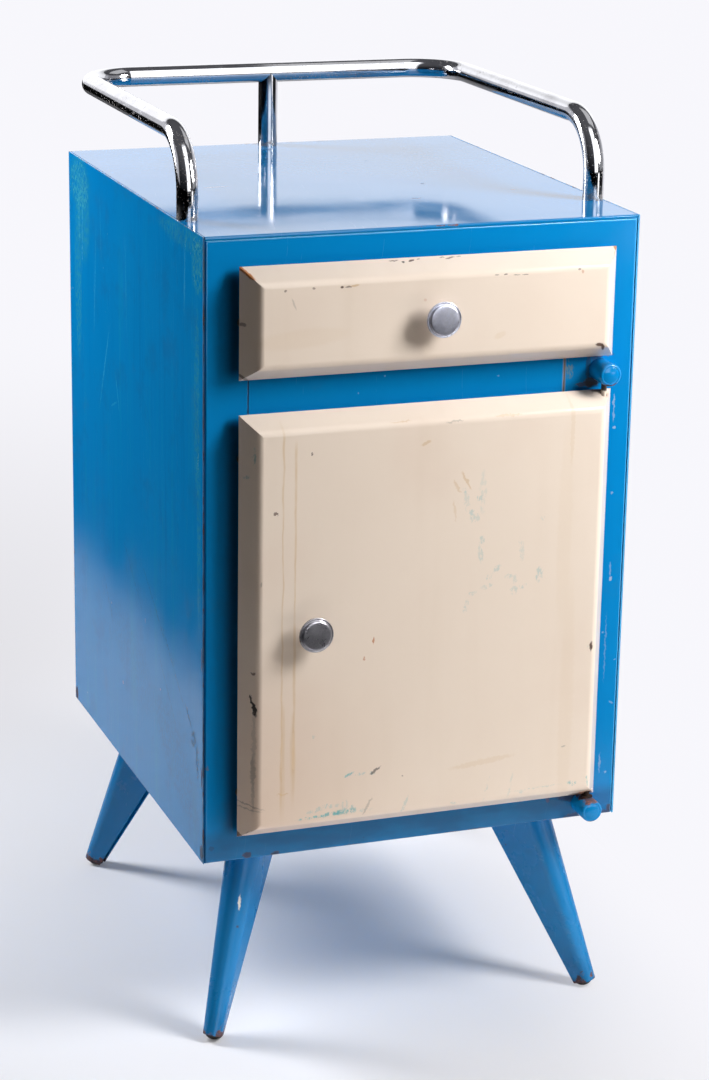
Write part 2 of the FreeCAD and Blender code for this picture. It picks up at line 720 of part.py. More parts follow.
def make_rail():
    bar = rail_solid(tube_radius)
    bore = tube_radius - tube_wall
    tube = bar.cut(rail_solid(bore))
    save("rail_tube", tube)
    post = rod(tube_radius, Vector(0, rail_back_y, top), Vector(0, 0, 1), rail_height)
    post = post.cut(rod(bore, Vector(0, rail_back_y, top), Vector(0, 0, 1), rail_height)).cut(bar)
    save("rail_rear_post", post)
    studs = []
    nuts = []
    for x, y in rail_feet():
        plug = rod(bore, Vector(x, y, top), Vector(0, 0, 1), rail_plug_height)
        studs.append(join(plug, rod(rail_stud_radius, Vector(x, y, top), Vector(0, 0, -1), rail_stud_drop)))
        seat = Vector(x, y, top - sheet)
        nut = hexagon(3.2 * rail_stud_radius, rail_nut_height, seat, Vector(0, 0, -1))
        nuts.append(nut.cut(rod(rail_stud_radius, seat, Vector(0, 0, -1), rail_nut_height)))
    save("rail_studs", *studs)
    save("rail_nuts", *nuts)


# ---------------------------------------------------------------- legs
leg_corners = {"front_left": (-1, -1), "front_right": (1, -1), "rear_left": (-1, 1), "rear_right": (1, 1)}


def leg_wire(share, z):
    """Section of a leg at height z: a nose arc and two wings, as thick as the sheet.

    The corner is at the origin and the middle of the cabinet at (+, +). share is 0
    at the cabinet's bottom and 1 at the floor.
    """
    inset = leg_top_inset + share * (leg_foot_inset - leg_top_inset)
    nose = leg_top_nose + share * (leg_foot_nose - leg_top_nose)
    wing = leg_top_wing + share * (leg_foot_wing - leg_top_wing)
    close = math.radians(leg_top_close + share * (leg_foot_close - leg_top_close))
    centre = Vector(inset, inset, z)
    inward = math.pi / 4

    def polar(angle, radius):
        return Vector(radius * math.cos(angle), radius * math.sin(angle), 0)

    def wing_end(side, radius):
        return centre + polar(inward + side * (math.pi / 2 - close), radius) + polar(inward - side * close, wing)

    def wing_start(side, radius):
        return centre + polar(inward + side * (math.pi / 2 - close), radius)

    outer, inner = nose, nose - leg_sheet
    nose_out = centre + polar(inward + math.pi, outer)
    nose_in = centre + polar(inward + math.pi, inner)
    return Part.Wire([
        Part.LineSegment(wing_end(1, outer), wing_start(1, outer)).toShape(),
        Part.Arc(wing_start(1, outer), nose_out, wing_start(-1, outer)).toShape(),
        Part.LineSegment(wing_start(-1, outer), wing_end(-1, outer)).toShape(),
        Part.LineSegment(wing_end(-1, outer), wing_end(-1, inner)).toShape(),
        Part.LineSegment(wing_end(-1, inner), wing_start(-1, inner)).toShape(),
        Part.Arc(wing_start(-1, inner), nose_in, wing_start(1, inner)).toShape(),
        Part.LineSegment(wing_start(1, inner), wing_end(1, inner)).toShape(),
        Part.LineSegment(wing_end(1, inner), wing_end(1, outer)).toShape()])


def leg_axis():
    """Unit vector down the leg, and the centre of the glide's dome on the leg's axis."""
    run = leg_top_inset - leg_foot_inset
    down = Vector(-run, -run, -leg_height)
    down.normalize()
    inset = leg_foot_inset + leg_foot_wing / 5
    height = glide_radius - glide_wear
    return down, Vector(inset + run * height / leg_height, inset + run * height / leg_height, height)


def leg_blank():
    """Leg in the corner frame of leg_wire: folded sheet welded to its top plate."""
    plate_top = base + sheet
    plate_low = plate_top - leg_plate
    over = leg_throat / leg_height
    down, dome = leg_axis()
    stub = Part.makeCylinder(4 * leg_top_nose, 4 * leg_throat, dome + down * glide_rise, down)
    folded = Part.makeLoft([leg_wire(0, base), leg_wire(1 + over, -leg_throat)], True, True)
    span = leg_top_inset + leg_top_nose + leg_top_wing
    folded = folded.cut(stub).cut(box(-span, 2 * span, -span, 2 * span, plate_low, base + flange))
    x0, x1 = leg_plate_inset, leg_plate_inset + leg_plate_side
    plate = box(x0, x1, x0, x1, plate_low, plate_top)
    corners = [e for e in plate.Edges if near(e.BoundBox.ZLength, leg_plate)]
    plate = plate.makeFillet(leg_bolt_edge, corners)
    for x, y in leg_bolt_places():
        plate = plate.cut(rod(leg_bolt_radius + weld_gap, Vector(x, y, plate_low), Vector(0, 0, 1), leg_plate))
    return join(folded, plate)


def leg_bolt_places():
    near_edge = leg_plate_inset + leg_bolt_edge
    far_edge = leg_plate_inset + leg_plate_side - leg_bolt_edge
    return [(near_edge, near_edge), (far_edge, near_edge + leg_bolt_offset - leg_bolt_edge),
            (near_edge + leg_bolt_offset - leg_bolt_edge, far_edge)]


def to_corner(point_x, point_y, corner):
    """Place of a corner-frame point at one of the cabinet's four corners."""
    sx, sy = corner
    x = left + point_x if sx < 0 else right - point_x
    y = front + point_y if sy < 0 else back - point_y
    return x, y


def place(shape, corner):
    sx, sy = corner
    moved = shape
    if sx > 0:
        moved = moved.mirror(Vector(0, 0, 0), Vector(1, 0, 0))
    if sy > 0:
        moved = moved.mirror(Vector(0, 0, 0), Vector(0, 1, 0))
    x, y = to_corner(0, 0, corner)
    moved = moved.copy()
    moved.translate(Vector(x, y, 0))
    return moved


def leg_bolts():
    bolts = []
    for corner in leg_corners.values():
        for px, py in leg_bolt_places():
            x, y = to_corner(px, py, corner)
            seat = Vector(x, y, base + sheet - leg_plate)
            reach = leg_plate + sheet + nut_height
            shank = rod(leg_bolt_radius, seat, Vector(0, 0, 1), reach)
            head = hexagon(3.2 * leg_bolt_radius, leg_plate, seat, Vector(0, 0, -1))
            bolts.append((seat, join(shank, head)))
    return bolts


def make_legs():
    leg = leg_blank()
    down, dome = leg_axis()
    ball = Part.makeSphere(glide_radius, dome)
    cap = Part.makeCylinder(2 * glide_radius, 2 * glide_radius, dome + down * glide_rise, down)
    stem_top = dome + down * (glide_rise - glide_stem_height)
    stem = rod(glide_stem_radius, stem_top, down, glide_stem_height)
    floor = box(dome.x - 2 * glide_radius, dome.x + 2 * glide_radius, dome.y - 2 * glide_radius,
                dome.y + 2 * glide_radius, -2 * glide_radius, 0)
    glide = join(ball.common(cap), stem).cut(floor)
    for name, corner in leg_corners.items():
        save("leg_" + name, place(leg, corner))
        save("foot_glide_" + name, place(glide, corner))
    save("leg_bolts", *[bolt for _, bolt in leg_bolts()])
    nuts = []
    for seat, _ in leg_bolts():
        at = Vector(seat.x, seat.y, floor_top)
        nut = hexagon(3.2 * leg_bolt_radius, nut_height * 0.8, at, Vector(0, 0, 1))
        nuts.append(nut.cut(rod(leg_bolt_radius, at, Vector(0, 0, 1), nut_height)))
    save("leg_nuts", *nuts)


save("side_panel_left", side_panel(-1))
save("side_panel_right", side_panel(1))
make_back()
make_top()
make_bottom()
make_face_frame()
make_middle_rail()
make_deck_and_runners()
make_shelf()
make_drawer()
make_door()
make_hinge()
make_catch()
make_buffers()
make_rail()
make_legs()
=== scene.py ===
"""Dresses the steel bedside cabinet: enamel, chrome, worn edges, and a plain studio round it."""

import json
import math
from functools import partialmethod

import bmesh
import bpy
from bpy.props import FloatProperty, FloatVectorProperty, PointerProperty
from bpy.types import Operator, Panel, PropertyGroup
from mathutils import Matrix, Vector

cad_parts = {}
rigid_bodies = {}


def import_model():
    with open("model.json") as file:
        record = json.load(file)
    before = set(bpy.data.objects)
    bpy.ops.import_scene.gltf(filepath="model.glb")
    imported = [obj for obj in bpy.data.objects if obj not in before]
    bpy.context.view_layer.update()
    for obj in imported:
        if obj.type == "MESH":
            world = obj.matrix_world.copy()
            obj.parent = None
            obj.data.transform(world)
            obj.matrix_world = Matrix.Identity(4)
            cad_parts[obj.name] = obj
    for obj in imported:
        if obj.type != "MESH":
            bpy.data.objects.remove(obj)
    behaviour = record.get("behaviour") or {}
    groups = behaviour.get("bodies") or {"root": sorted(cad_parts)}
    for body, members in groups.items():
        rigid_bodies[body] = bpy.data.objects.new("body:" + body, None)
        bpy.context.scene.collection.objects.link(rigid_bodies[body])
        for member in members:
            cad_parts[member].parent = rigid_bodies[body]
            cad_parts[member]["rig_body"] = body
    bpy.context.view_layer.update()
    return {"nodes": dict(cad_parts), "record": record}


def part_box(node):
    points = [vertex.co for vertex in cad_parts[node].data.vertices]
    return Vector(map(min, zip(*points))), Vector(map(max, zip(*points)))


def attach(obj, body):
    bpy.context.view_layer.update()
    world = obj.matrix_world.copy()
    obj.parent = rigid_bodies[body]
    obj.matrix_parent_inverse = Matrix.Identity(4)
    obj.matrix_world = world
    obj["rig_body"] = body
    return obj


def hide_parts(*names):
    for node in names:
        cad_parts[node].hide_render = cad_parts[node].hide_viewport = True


bl_info = {
    "name": "Bedside cabinet",
    "version": (1, 0, 0),
    "blender": (4, 5, 0),
    "location": "3D View > Sidebar > Cabinet",
    "description": "Enamelled steel bedside cabinet with a chromed rail, worn by use",
    "category": "Object",
}

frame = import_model()
NODES = frame["nodes"]
MM = 0.001
TURNS = 96  # steps round a turned piece
TUBE_SIDES, BEND_STEPS = 64, 40  # steps round the rail's tube and along each of its bends
FLAT = 0.3  # degrees between faces that are joined into one

# Planes of the cabinet's box, read from the frame
SIDE_LOW, SIDE_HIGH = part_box("side_panel_left")
LEFT, FRONT, BASE = SIDE_LOW
BACK, TOP = SIDE_HIGH.y, SIDE_HIGH.z
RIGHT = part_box("side_panel_right")[1].x
RAIL_LOW, RAIL_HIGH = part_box("rail_tube")
POST_LOW, POST_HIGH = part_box("rail_rear_post")
DOOR_LOW, DOOR_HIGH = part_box("door_skin")
DRAWER_LOW, DRAWER_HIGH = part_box("drawer_front")
MIDDLE_LOW, MIDDLE_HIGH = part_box("middle_rail")


# ------------------------------------------------------------------ settings
def length(name, description, default):
    return FloatProperty(name=name, description=description, unit="LENGTH", default=default)


def angle(name, description, degrees):
    return FloatProperty(name=name, description=description, subtype="ANGLE", default=math.radians(degrees))


def finish_colour(name, description, default):
    return FloatVectorProperty(name=name, description=description, subtype="COLOR", size=4, default=default)


def watts(name, lamp, default):
    return FloatProperty(name=name, description=f"Strength of {lamp}, in watts", default=default)


class CabinetSizes(PropertyGroup):
    """Sizes of the pieces that are made here"""
    tube_radius: length("Rail tube radius", "Outside radius of the gallery rail", (POST_HIGH.x - POST_LOW.x) / 2)
    rail_bend: length("Rail bend", "Radius of the rail's bends, at the tube's axis", 50 * MM)
    knob_rim: length("Knob shoulder", "Radius where a knob's face turns down", 2.0 * MM)
    screw_head: length("Screw head", "Radius of the back panel's screw heads", 3.4 * MM)
    smooth_angle: angle("Smooth angle", "Edges flatter than this are shaded smooth", 28)


class CabinetColours(PropertyGroup):
    """Colours of the finishes"""
    blue: finish_colour("Blue enamel", "Carcass and legs", (0.001, 0.235, 0.610, 1))
    cream: finish_colour("Cream enamel", "Door and drawer front", (0.865, 0.752, 0.655, 1))
    inside: finish_colour("Inside paint", "Shelf, drawer and inner panels", (0.560, 0.565, 0.500, 1))
    chrome: finish_colour("Chrome", "Gallery rail", (0.660, 0.665, 0.690, 1))
    aluminium: finish_colour("Aluminium", "Knobs", (0.780, 0.800, 0.940, 1))
    rust: finish_colour("Rust", "Bare steel that has rusted", (0.120, 0.045, 0.018, 1))


class CabinetStage(PropertyGroup):
    """Camera and lamps"""
    camera_place: FloatVectorProperty(
        name="Camera", description="Where the camera stands", subtype="TRANSLATION", size=3,
        default=(-0.8831, -2.4555, 1.2054))
    yaw: angle("Yaw", "How far the camera looks to the right", 20.05)
    pitch: angle("Pitch", "How far the camera looks down", 17.05)
    roll: angle("Roll", "Turn about the line of sight", 0.96)
    lens: FloatProperty(
        name="Lens", description="Focal length in millimetres, for a 36 mm frame", default=95.43)
    key: watts("Key lamp", "the lamp at the right", 23.8)
    side: watts("Side lamp", "the lamp at the left", 22.0)
    fill: watts("Fill lamp", "the wide lamp in front", 0.6)
    rear: watts("Rear lamp", "the wide lamp behind", 17.5)


# ------------------------------------------------------------------ node building
class Graph:
    """Adds nodes to a tree; an input that is given a socket is linked, any other value is set."""

    def __init__(self, tree):
        self.tree = tree

    def put(self, value, socket):
        if isinstance(value, bpy.types.NodeSocket):
            self.tree.links.new(value, socket)
        elif socket.type == "RGBA":
            socket.default_value = (*value, 1.0)
        else:
            socket.default_value = value

    def node(self, kind, inputs=None, **settings):
        node = self.tree.nodes.new(kind)
        for name, value in settings.items():
            setattr(node, name, value)
        for key, value in (inputs or {}).items():
            self.put(value, node.inputs[key])
        return node

    def math(self, operation, *values, clamp=False):
        node = self.node("ShaderNodeMath", dict(enumerate(values)), operation=operation)
        node.use_clamp = clamp
        return node.outputs[0]

    add, sub = partialmethod(math, "ADD"), partialmethod(math, "SUBTRACT")
    mul, div = partialmethod(math, "MULTIPLY"), partialmethod(math, "DIVIDE")
    most, least = partialmethod(math, "MAXIMUM"), partialmethod(math, "MINIMUM")
    size = partialmethod(math, "ABSOLUTE")

    def vector(self, operation, *values):
        node = self.node("ShaderNodeVectorMath", dict(enumerate(values)), operation=operation)
        return node.outputs["Value" if operation == "LENGTH" else "Vector"]

    def mix(self, factor, a, b):
        return self.node("ShaderNodeMix", {0: factor, 6: a, 7: b}, data_type="RGBA").outputs[2]

    def blend(self, factor, a, b):
        return self.node("ShaderNodeMix", {0: factor, 2: a, 3: b}, data_type="FLOAT").outputs[0]

    def ramp(self, value, low, high, to_low=0.0, to_high=1.0):
        """A smooth step from to_low at low to to_high at high."""
        return self.node("ShaderNodeMapRange", {0: value, 1: low, 2: high, 3: to_low, 4: to_high},
                         interpolation_type="SMOOTHSTEP").outputs[0]

    def noises(self, vector, scale, detail=2.0, roughness=0.5, distortion=0.0):
        """A noise as a value and as a colour."""
        return self.node("ShaderNodeTexNoise", {"Vector": vector, "Scale": scale, "Detail": detail,
                                                "Roughness": roughness, "Distortion": distortion}).outputs

    def noise(self, *values):
        return self.noises(*values)[0]

    def split(self, vector):
        return self.node("ShaderNodeSeparateXYZ", {0: vector}).outputs

    def join(self, x, y, z):
        return self.node("ShaderNodeCombineXYZ", {0: x, 1: y, 2: z}).outputs[0]


SOCKETS = {"v": "NodeSocketVector", "f": "NodeSocketFloat", "c": "NodeSocketColor", "i": "NodeSocketInt",
           "m": "NodeSocketMaterial", "g": "NodeSocketGeometry"}


def node_group(name, inputs, outputs, kind="ShaderNodeTree"):
    """A new node group; inputs and outputs are {socket name: letter of its kind}."""
    tree = bpy.data.node_groups.new(name, kind)
    for sockets, way in ((inputs, "INPUT"), (outputs, "OUTPUT")):
        for label, letter in sockets.items():
            tree.interface.new_socket(label, in_out=way, socket_type=SOCKETS[letter])
    graph = Graph(tree)
    return graph, graph.node("NodeGroupInput").outputs, graph.node("NodeGroupOutput").inputs


BUILDERS = []


def shared(name, inputs, outputs):
    """Marks the builder of a shared shader group, with its sockets as letters and names: it is
    given a graph and the inputs, and returns what goes to the outputs."""
    def keep(build):
        BUILDERS.append((name, inputs, outputs, build))
        return build
    return keep


def make_groups():
    for name, inputs, outputs, build in BUILDERS:
        sockets = [dict(item.split(":")[::-1] for item in text.split()) for text in (inputs, outputs)]
        graph, given, out = node_group(name, *sockets)
        for value, socket in zip(build(graph, *list(given)[:-1]), out):
            graph.put(value, socket)


@shared("Mark", "v:Vector v:Ragged f:X f:Z f:Width f:Height f:Turn f:Edge", "f:Mask")
def mark_group(g, place, ragged, x0, z0, width, height, turn, edge):
    """A patch with a ragged rim, placed in the plane of X and Z."""
    x, _, z = g.split(g.vector("ADD", place, ragged))
    dx, dz = g.sub(x, x0), g.sub(z, z0)
    cos, sin = g.math("COSINE", turn), g.math("SINE", turn)
    u = g.div(g.add(g.mul(dx, cos), g.mul(dz, sin)), width)
    v = g.div(g.sub(g.mul(dz, cos), g.mul(dx, sin)), height)
    reach = g.math("SQRT", g.add(g.mul(u, u), g.mul(v, v)))
    return [g.ramp(reach, g.add(1.0, edge), 1.0)]


@shared("Run", "v:Vector f:X f:Top f:Bottom f:Width f:Wander f:Seed", "f:Mask")
def run_group(g, place, x0, top, bottom, width, wander, seed):
    """A thin stain that runs down along Z and wanders a little."""
    x, _, z = g.split(place)
    path = g.join(seed, 0.0, g.mul(z, 28.0))
    off = g.size(g.sub(x, g.add(x0, g.mul(g.sub(g.noise(path, 1.0), 0.5), wander))))
    swell = g.ramp(g.noise(g.vector("MULTIPLY", path, (1.0, 1.0, 0.35)), 1.0, 1.0), 0.3, 0.7, 0.6, 1.3)
    line = g.ramp(g.div(off, g.mul(width, swell)), 1.0, 0.35)
    ends = g.mul(g.ramp(z, top, g.sub(top, 0.02)), g.ramp(z, bottom, g.add(bottom, 0.05)))
    fade = g.ramp(g.noise(g.join(seed, 3.0, g.mul(z, 40.0)), 1.0), 0.3, 0.6, 0.45, 1.0)
    return [g.mul(g.mul(line, ends), fade)]


@shared("Worn edge", "v:Vector v:Low v:High f:Width f:Ragged", "f:Mask f:Line")
def edge_group(g, place, low, high, width, ragged):
    """Where two faces of a box meet, worn in a ragged line."""
    inwards = g.vector("MINIMUM", g.vector("SUBTRACT", place, low), g.vector("SUBTRACT", high, place))
    a, b, c = g.split(inwards)
    inner = g.most(g.least(a, b), g.least(g.most(a, b), c))
    rough, patches = g.noise(place, 60.0, 5.0, 0.7), g.noise(place, 14.0)
    limit = g.mul(width, g.mul(g.ramp(rough, 0.46, 0.72, 0.0, 2.2), g.ramp(patches, 0.42, 0.62)))
    limit = g.mul(limit, ragged)
    return [g.ramp(inner, limit, g.mul(limit, 0.6)), g.ramp(inner, width, g.mul(width, 0.2))]


@shared("Specks", "v:Vector f:Scale f:Amount f:Size", "f:Mask")
def speck_group(g, place, scale, amount, size):
    """Scattered small spots of uneven size."""
    wobble = g.vector("MULTIPLY", g.noises(place, 900.0)[1], (0.0012, 0.0012, 0.0012))
    cells = g.node("ShaderNodeTexVoronoi", {"Vector": g.vector("ADD", place, wobble), "Scale": scale})
    chance, share, _ = g.split(cells.outputs["Color"])
    radius = g.mul(size, g.add(0.3, share))
    spot = g.ramp(cells.outputs["Distance"], radius, g.mul(radius, 0.5))
    return [g.mul(spot, g.math("LESS_THAN", chance, amount))]


@shared("Scratches", "v:Vector f:Scale f:Amount f:Bend", "f:Mask")
def scratch_group(g, place, scale, amount, bend):
    """Fine broken lines that run along Z."""
    x, y, z = g.split(place)
    sway = g.mul(g.noise(g.join(0.0, 0.0, z), 7.0, 1.0), bend)
    line = g.join(g.mul(g.add(x, sway), scale), g.mul(y, scale), g.mul(z, 2.2))
    cells = g.node("ShaderNodeTexVoronoi", {"Vector": line, "Scale": 1.0}, distance="MANHATTAN")
    chance, _, _ = g.split(cells.outputs["Color"])
    near = g.size(g.sub(g.math("FRACT", g.add(g.split(line)[0], chance)), 0.5))
    there = g.mul(g.ramp(near, 0.035, 0.008), g.math("LESS_THAN", chance, amount))
    return [g.mul(there, g.ramp(g.noise(place, 90.0, 3.0), 0.45, 0.6))]


@shared("Enamel film", "v:Vector c:Color c:Faded f:Drift f:Gloss f:Dull", "c:Color f:Roughness f:Height")
def film_group(g, place, color, faded, drift, gloss, dull):
    """A film of stoved enamel: slow drifts of colour, dull patches and a faint peel."""
    slow, fine = g.noise(place, 3.2, 3.0, 0.55), g.noise(place, 38.0, 4.0, 0.6)
    share = g.mul(drift, g.add(g.ramp(slow, 0.35, 0.7), g.mul(g.sub(fine, 0.5), 0.8)))
    haze = g.ramp(g.noise(place, 9.0, 6.0, 0.65, 0.4), 0.4, 0.75)
    peel, wave = g.noise(place, 420.0, 1.0), g.noise(place, 9.0, 1.0)
    return [g.mix(g.most(share, 0.0), color, faded), g.blend(haze, gloss, dull),
            g.add(g.mul(peel, 0.000012), g.mul(wave, 0.00035))]


@shared("Rust", "v:Vector c:Color", "c:Color")
def rust_group(g, place, color):
    """Uneven rust, from dark brown to orange."""
    grain, patch = g.noise(place, 260.0, 5.0, 0.7), g.noise(place, 60.0, 3.0)
    light = g.vector("MULTIPLY", color, (3.2, 2.4, 1.4))
    dark = g.vector("MULTIPLY", color, (0.35, 0.35, 0.45))
    return [g.mix(g.ramp(grain, 0.5, 0.72), g.mix(g.ramp(patch, 0.35, 0.65), dark, color), light)]


# ------------------------------------------------------------------ wear
RAGGED = 0.0055  # how far a mark's rim wanders
MARK_EDGE = 0.7  # share of a mark's size over which it fades out
FADED_BLUE = (0.006, 0.275, 0.650)
NOWHERE = ((-9, -9, -9), (9, 9, 9))  # a box so wide that no edge of a piece is worn
POST_RUST = ((598.6, 1), (205.6, -1))  # where rust starts on the hinge posts, in mm; 1 if the door is below

# Tone of a mark: its colour, roughness and height
TONES = {
    "teal": ((0.10, 0.42, 0.45), 0.35, 0.00001),
    "smudge": ((0.42, 0.56, 0.55), 0.35, 0.0),
    "tan": ((0.62, 0.42, 0.20), 0.35, 0.0),
    "orange": ((0.45, 0.15, 0.03), 0.6, -0.00003),
    "brown": ((0.085, 0.040, 0.025), 0.7, -0.00008),
    "dark": ((0.020, 0.015, 0.014), 0.6, -0.00006),
    "grey": ((0.30, 0.26, 0.22), 0.4, 0.0),
    "pale": ((0.62, 0.72, 0.80), 0.4, -0.00002),
    "white": ((0.85, 0.82, 0.74), 0.5, -0.00003),
    "sky": ((0.03, 0.37, 0.66), 0.35, 0.0),
    "olive": ((0.16, 0.24, 0.20), 0.4, 0.0),
    "stain": ((0.34, 0.25, 0.15), 0.4, 0.0),
    "soot": ((0.015, 0.050, 0.070), 0.4, 0.0),
    "wash": ((0.03, 0.34, 0.42), 0.35, 0.0),
}
BROKEN = ("smudge", "teal", "olive", "soot", "wash")  # tones that lie on as flecks, not as a whole patch

# Marks on each face: a tone, then for each mark of that tone its x, z, half width and half height in mm,
# its turn in degrees and its strength; in the plane of X and Z, after plane() has swapped the axes
FRAME_MARKS = (
    ("pale", (182.6, 577.6, 0.7, 5.5, 0, 0.36), (182.7, 565.4, 0.6, 4, 0, 0.29),
     (183.8, 554.2, 1, 0.9, 0, 0.39), (184.4, 493.5, 0.9, 0.8, 0, 0.33), (186, 420.4, 0.6, 5, 0, 0.23)),
    ("white", (187.1, 411.9, 1, 1.2, 0, 0.39)),
    ("pale", (183.9, 232.5, 0.6, 7, 0, 0.29), (189.9, 222.8, 0.9, 0.9, 0, 0.39),
     (181.7, 360.5, 0.8, 0.8, 0, 0.33), (194.7, 333.6, 0.9, 0.6, 0, 0.33),
     (193.2, 291.3, 1.8, 0.6, -20, 0.26), (184.5, 345, 0.5, 22, 0, 0.16)),
    ("brown", (197.1, 186.5, 3.2, 3, 0, 0.95), (191, 182.6, 6, 1.2, 0, 0.8), (-158.8, 184.3, 3, 2.2, 0, 0.85),
     (-132.2, 182.6, 3, 1.6, 0, 0.85), (-60, 181.6, 5, 0.8, 0, 0.5), (62, 181.8, 7, 0.8, 0, 0.6)),
    ("olive", (MIDDLE_HIGH.x / MM + 5.0, 611, 3, 7, 0, 0.6)),
    ("pale", (69.9, 609.9, 0.7, 0.5, 0, 0.26), (-60.3, 603, 0.5, 0.8, 0, 0.2)),
    # The dark marks at the upper hinge post are painted shadow of the post, over rust.
    ("dark", (160, 598, 5, 3.4, 0, 0.9), (154, 596, 7, 1.6, 0, 0.8), (156, 612, 1.6, 10, 0, 0.55)),
    ("brown", (168, 621.5, 9, 0.9, 0, 0.6), (152, 204, 8, 4, -10, 0.8)),
    # A painted shadow of the lower hinge post, over rust.
    ("dark", (157, 203, 6, 4, 0, 0.8)),
    ("brown", (163, 183, 9, 2, 0, 0.7)),
    ("orange", (133, 203, 1.2, 3, 0, 0.45)),
    ("dark", (-192, 195, 1.6, 1.6, 0, 0.45)),
    ("brown", (-196, 272, 0.8, 2, 0, 0.5)),
)
SIDE_MARKS = (
    ("sky", (-150, 700, 0.7, 26, 3, 0.6), (128, 690, 0.6, 24, -3, 0.6), (196, 680, 0.7, 34, 4, 0.7),
     (208, 690, 1, 22, 2, 0.6), (40, 660, 0.6, 34, -2, 0.5), (150, 640, 0.6, 40, 6, 0.6),
     (118, 560, 0.8, 34, 24, 0.6), (85, 532, 8, 0.9, -24, 0.5), (72, 546, 0.8, 14, -20, 0.6)),
    ("wash", (205, 722, 26, 18, 0, 0.8), (190, 690, 16, 30, 0, 0.6), (-188, 720, 12, 20, 0, 0.7),
     (-140, 736, 50, 7, 0, 0.5), (-186, 600, 6, 60, 0, 0.6), (214, 630, 9, 60, 0, 0.55),
     (-192, 480, 4, 60, 0, 0.5)),
    ("soot", (-176, 290, 5, 6, 40, 0.9), (-160, 306, 9, 1.2, 40, 0.8), (-188, 272, 3, 12, 0, 0.8),
     (-110, 338, 34, 0.8, 38, 0.6), (-50, 376, 40, 0.8, 34, 0.5), (-90, 310, 30, 0.7, 42, 0.45),
     (20, 380, 30, 0.7, 38, 0.4), (110, 330, 20, 1, 50, 0.4)),
    ("dark", (60, 262, 1, 1.6, 0, 0.5), (-70, 300, 1.4, 0.8, 20, 0.4), (-20, 350, 0.6, 2.4, 20, 0.4),
     (100, 330, 1, 1, 0, 0.5)),
    ("soot", (30, 300, 60, 24, 20, 0.14), (-120, 250, 60, 22, 30, 0.2)),
    ("brown", (240, 188, 4, 5, 0, 0.9), (-200, 190, 3, 5, 0, 0.85), (-201, 262, 1.6, 7, 0, 0.7),
     (-201, 372, 1.4, 8, 0, 0.7)),
)
TOP_MARKS = (
    ("grey", (20, 60, 1, 1, 0, 0.5)),
    ("dark", (62, 120, 1, 0.9, 0, 0.6), (70, -10, 1.2, 1.6, 0, 0.55)),
    ("white", (-120, 20, 8, 1, 0, 0.5)),
    ("dark", (38, -80, 3, 1.2, 0, 0.5)),
    ("grey", (140, -60, 1.4, 2, 0, 0.4)),
)
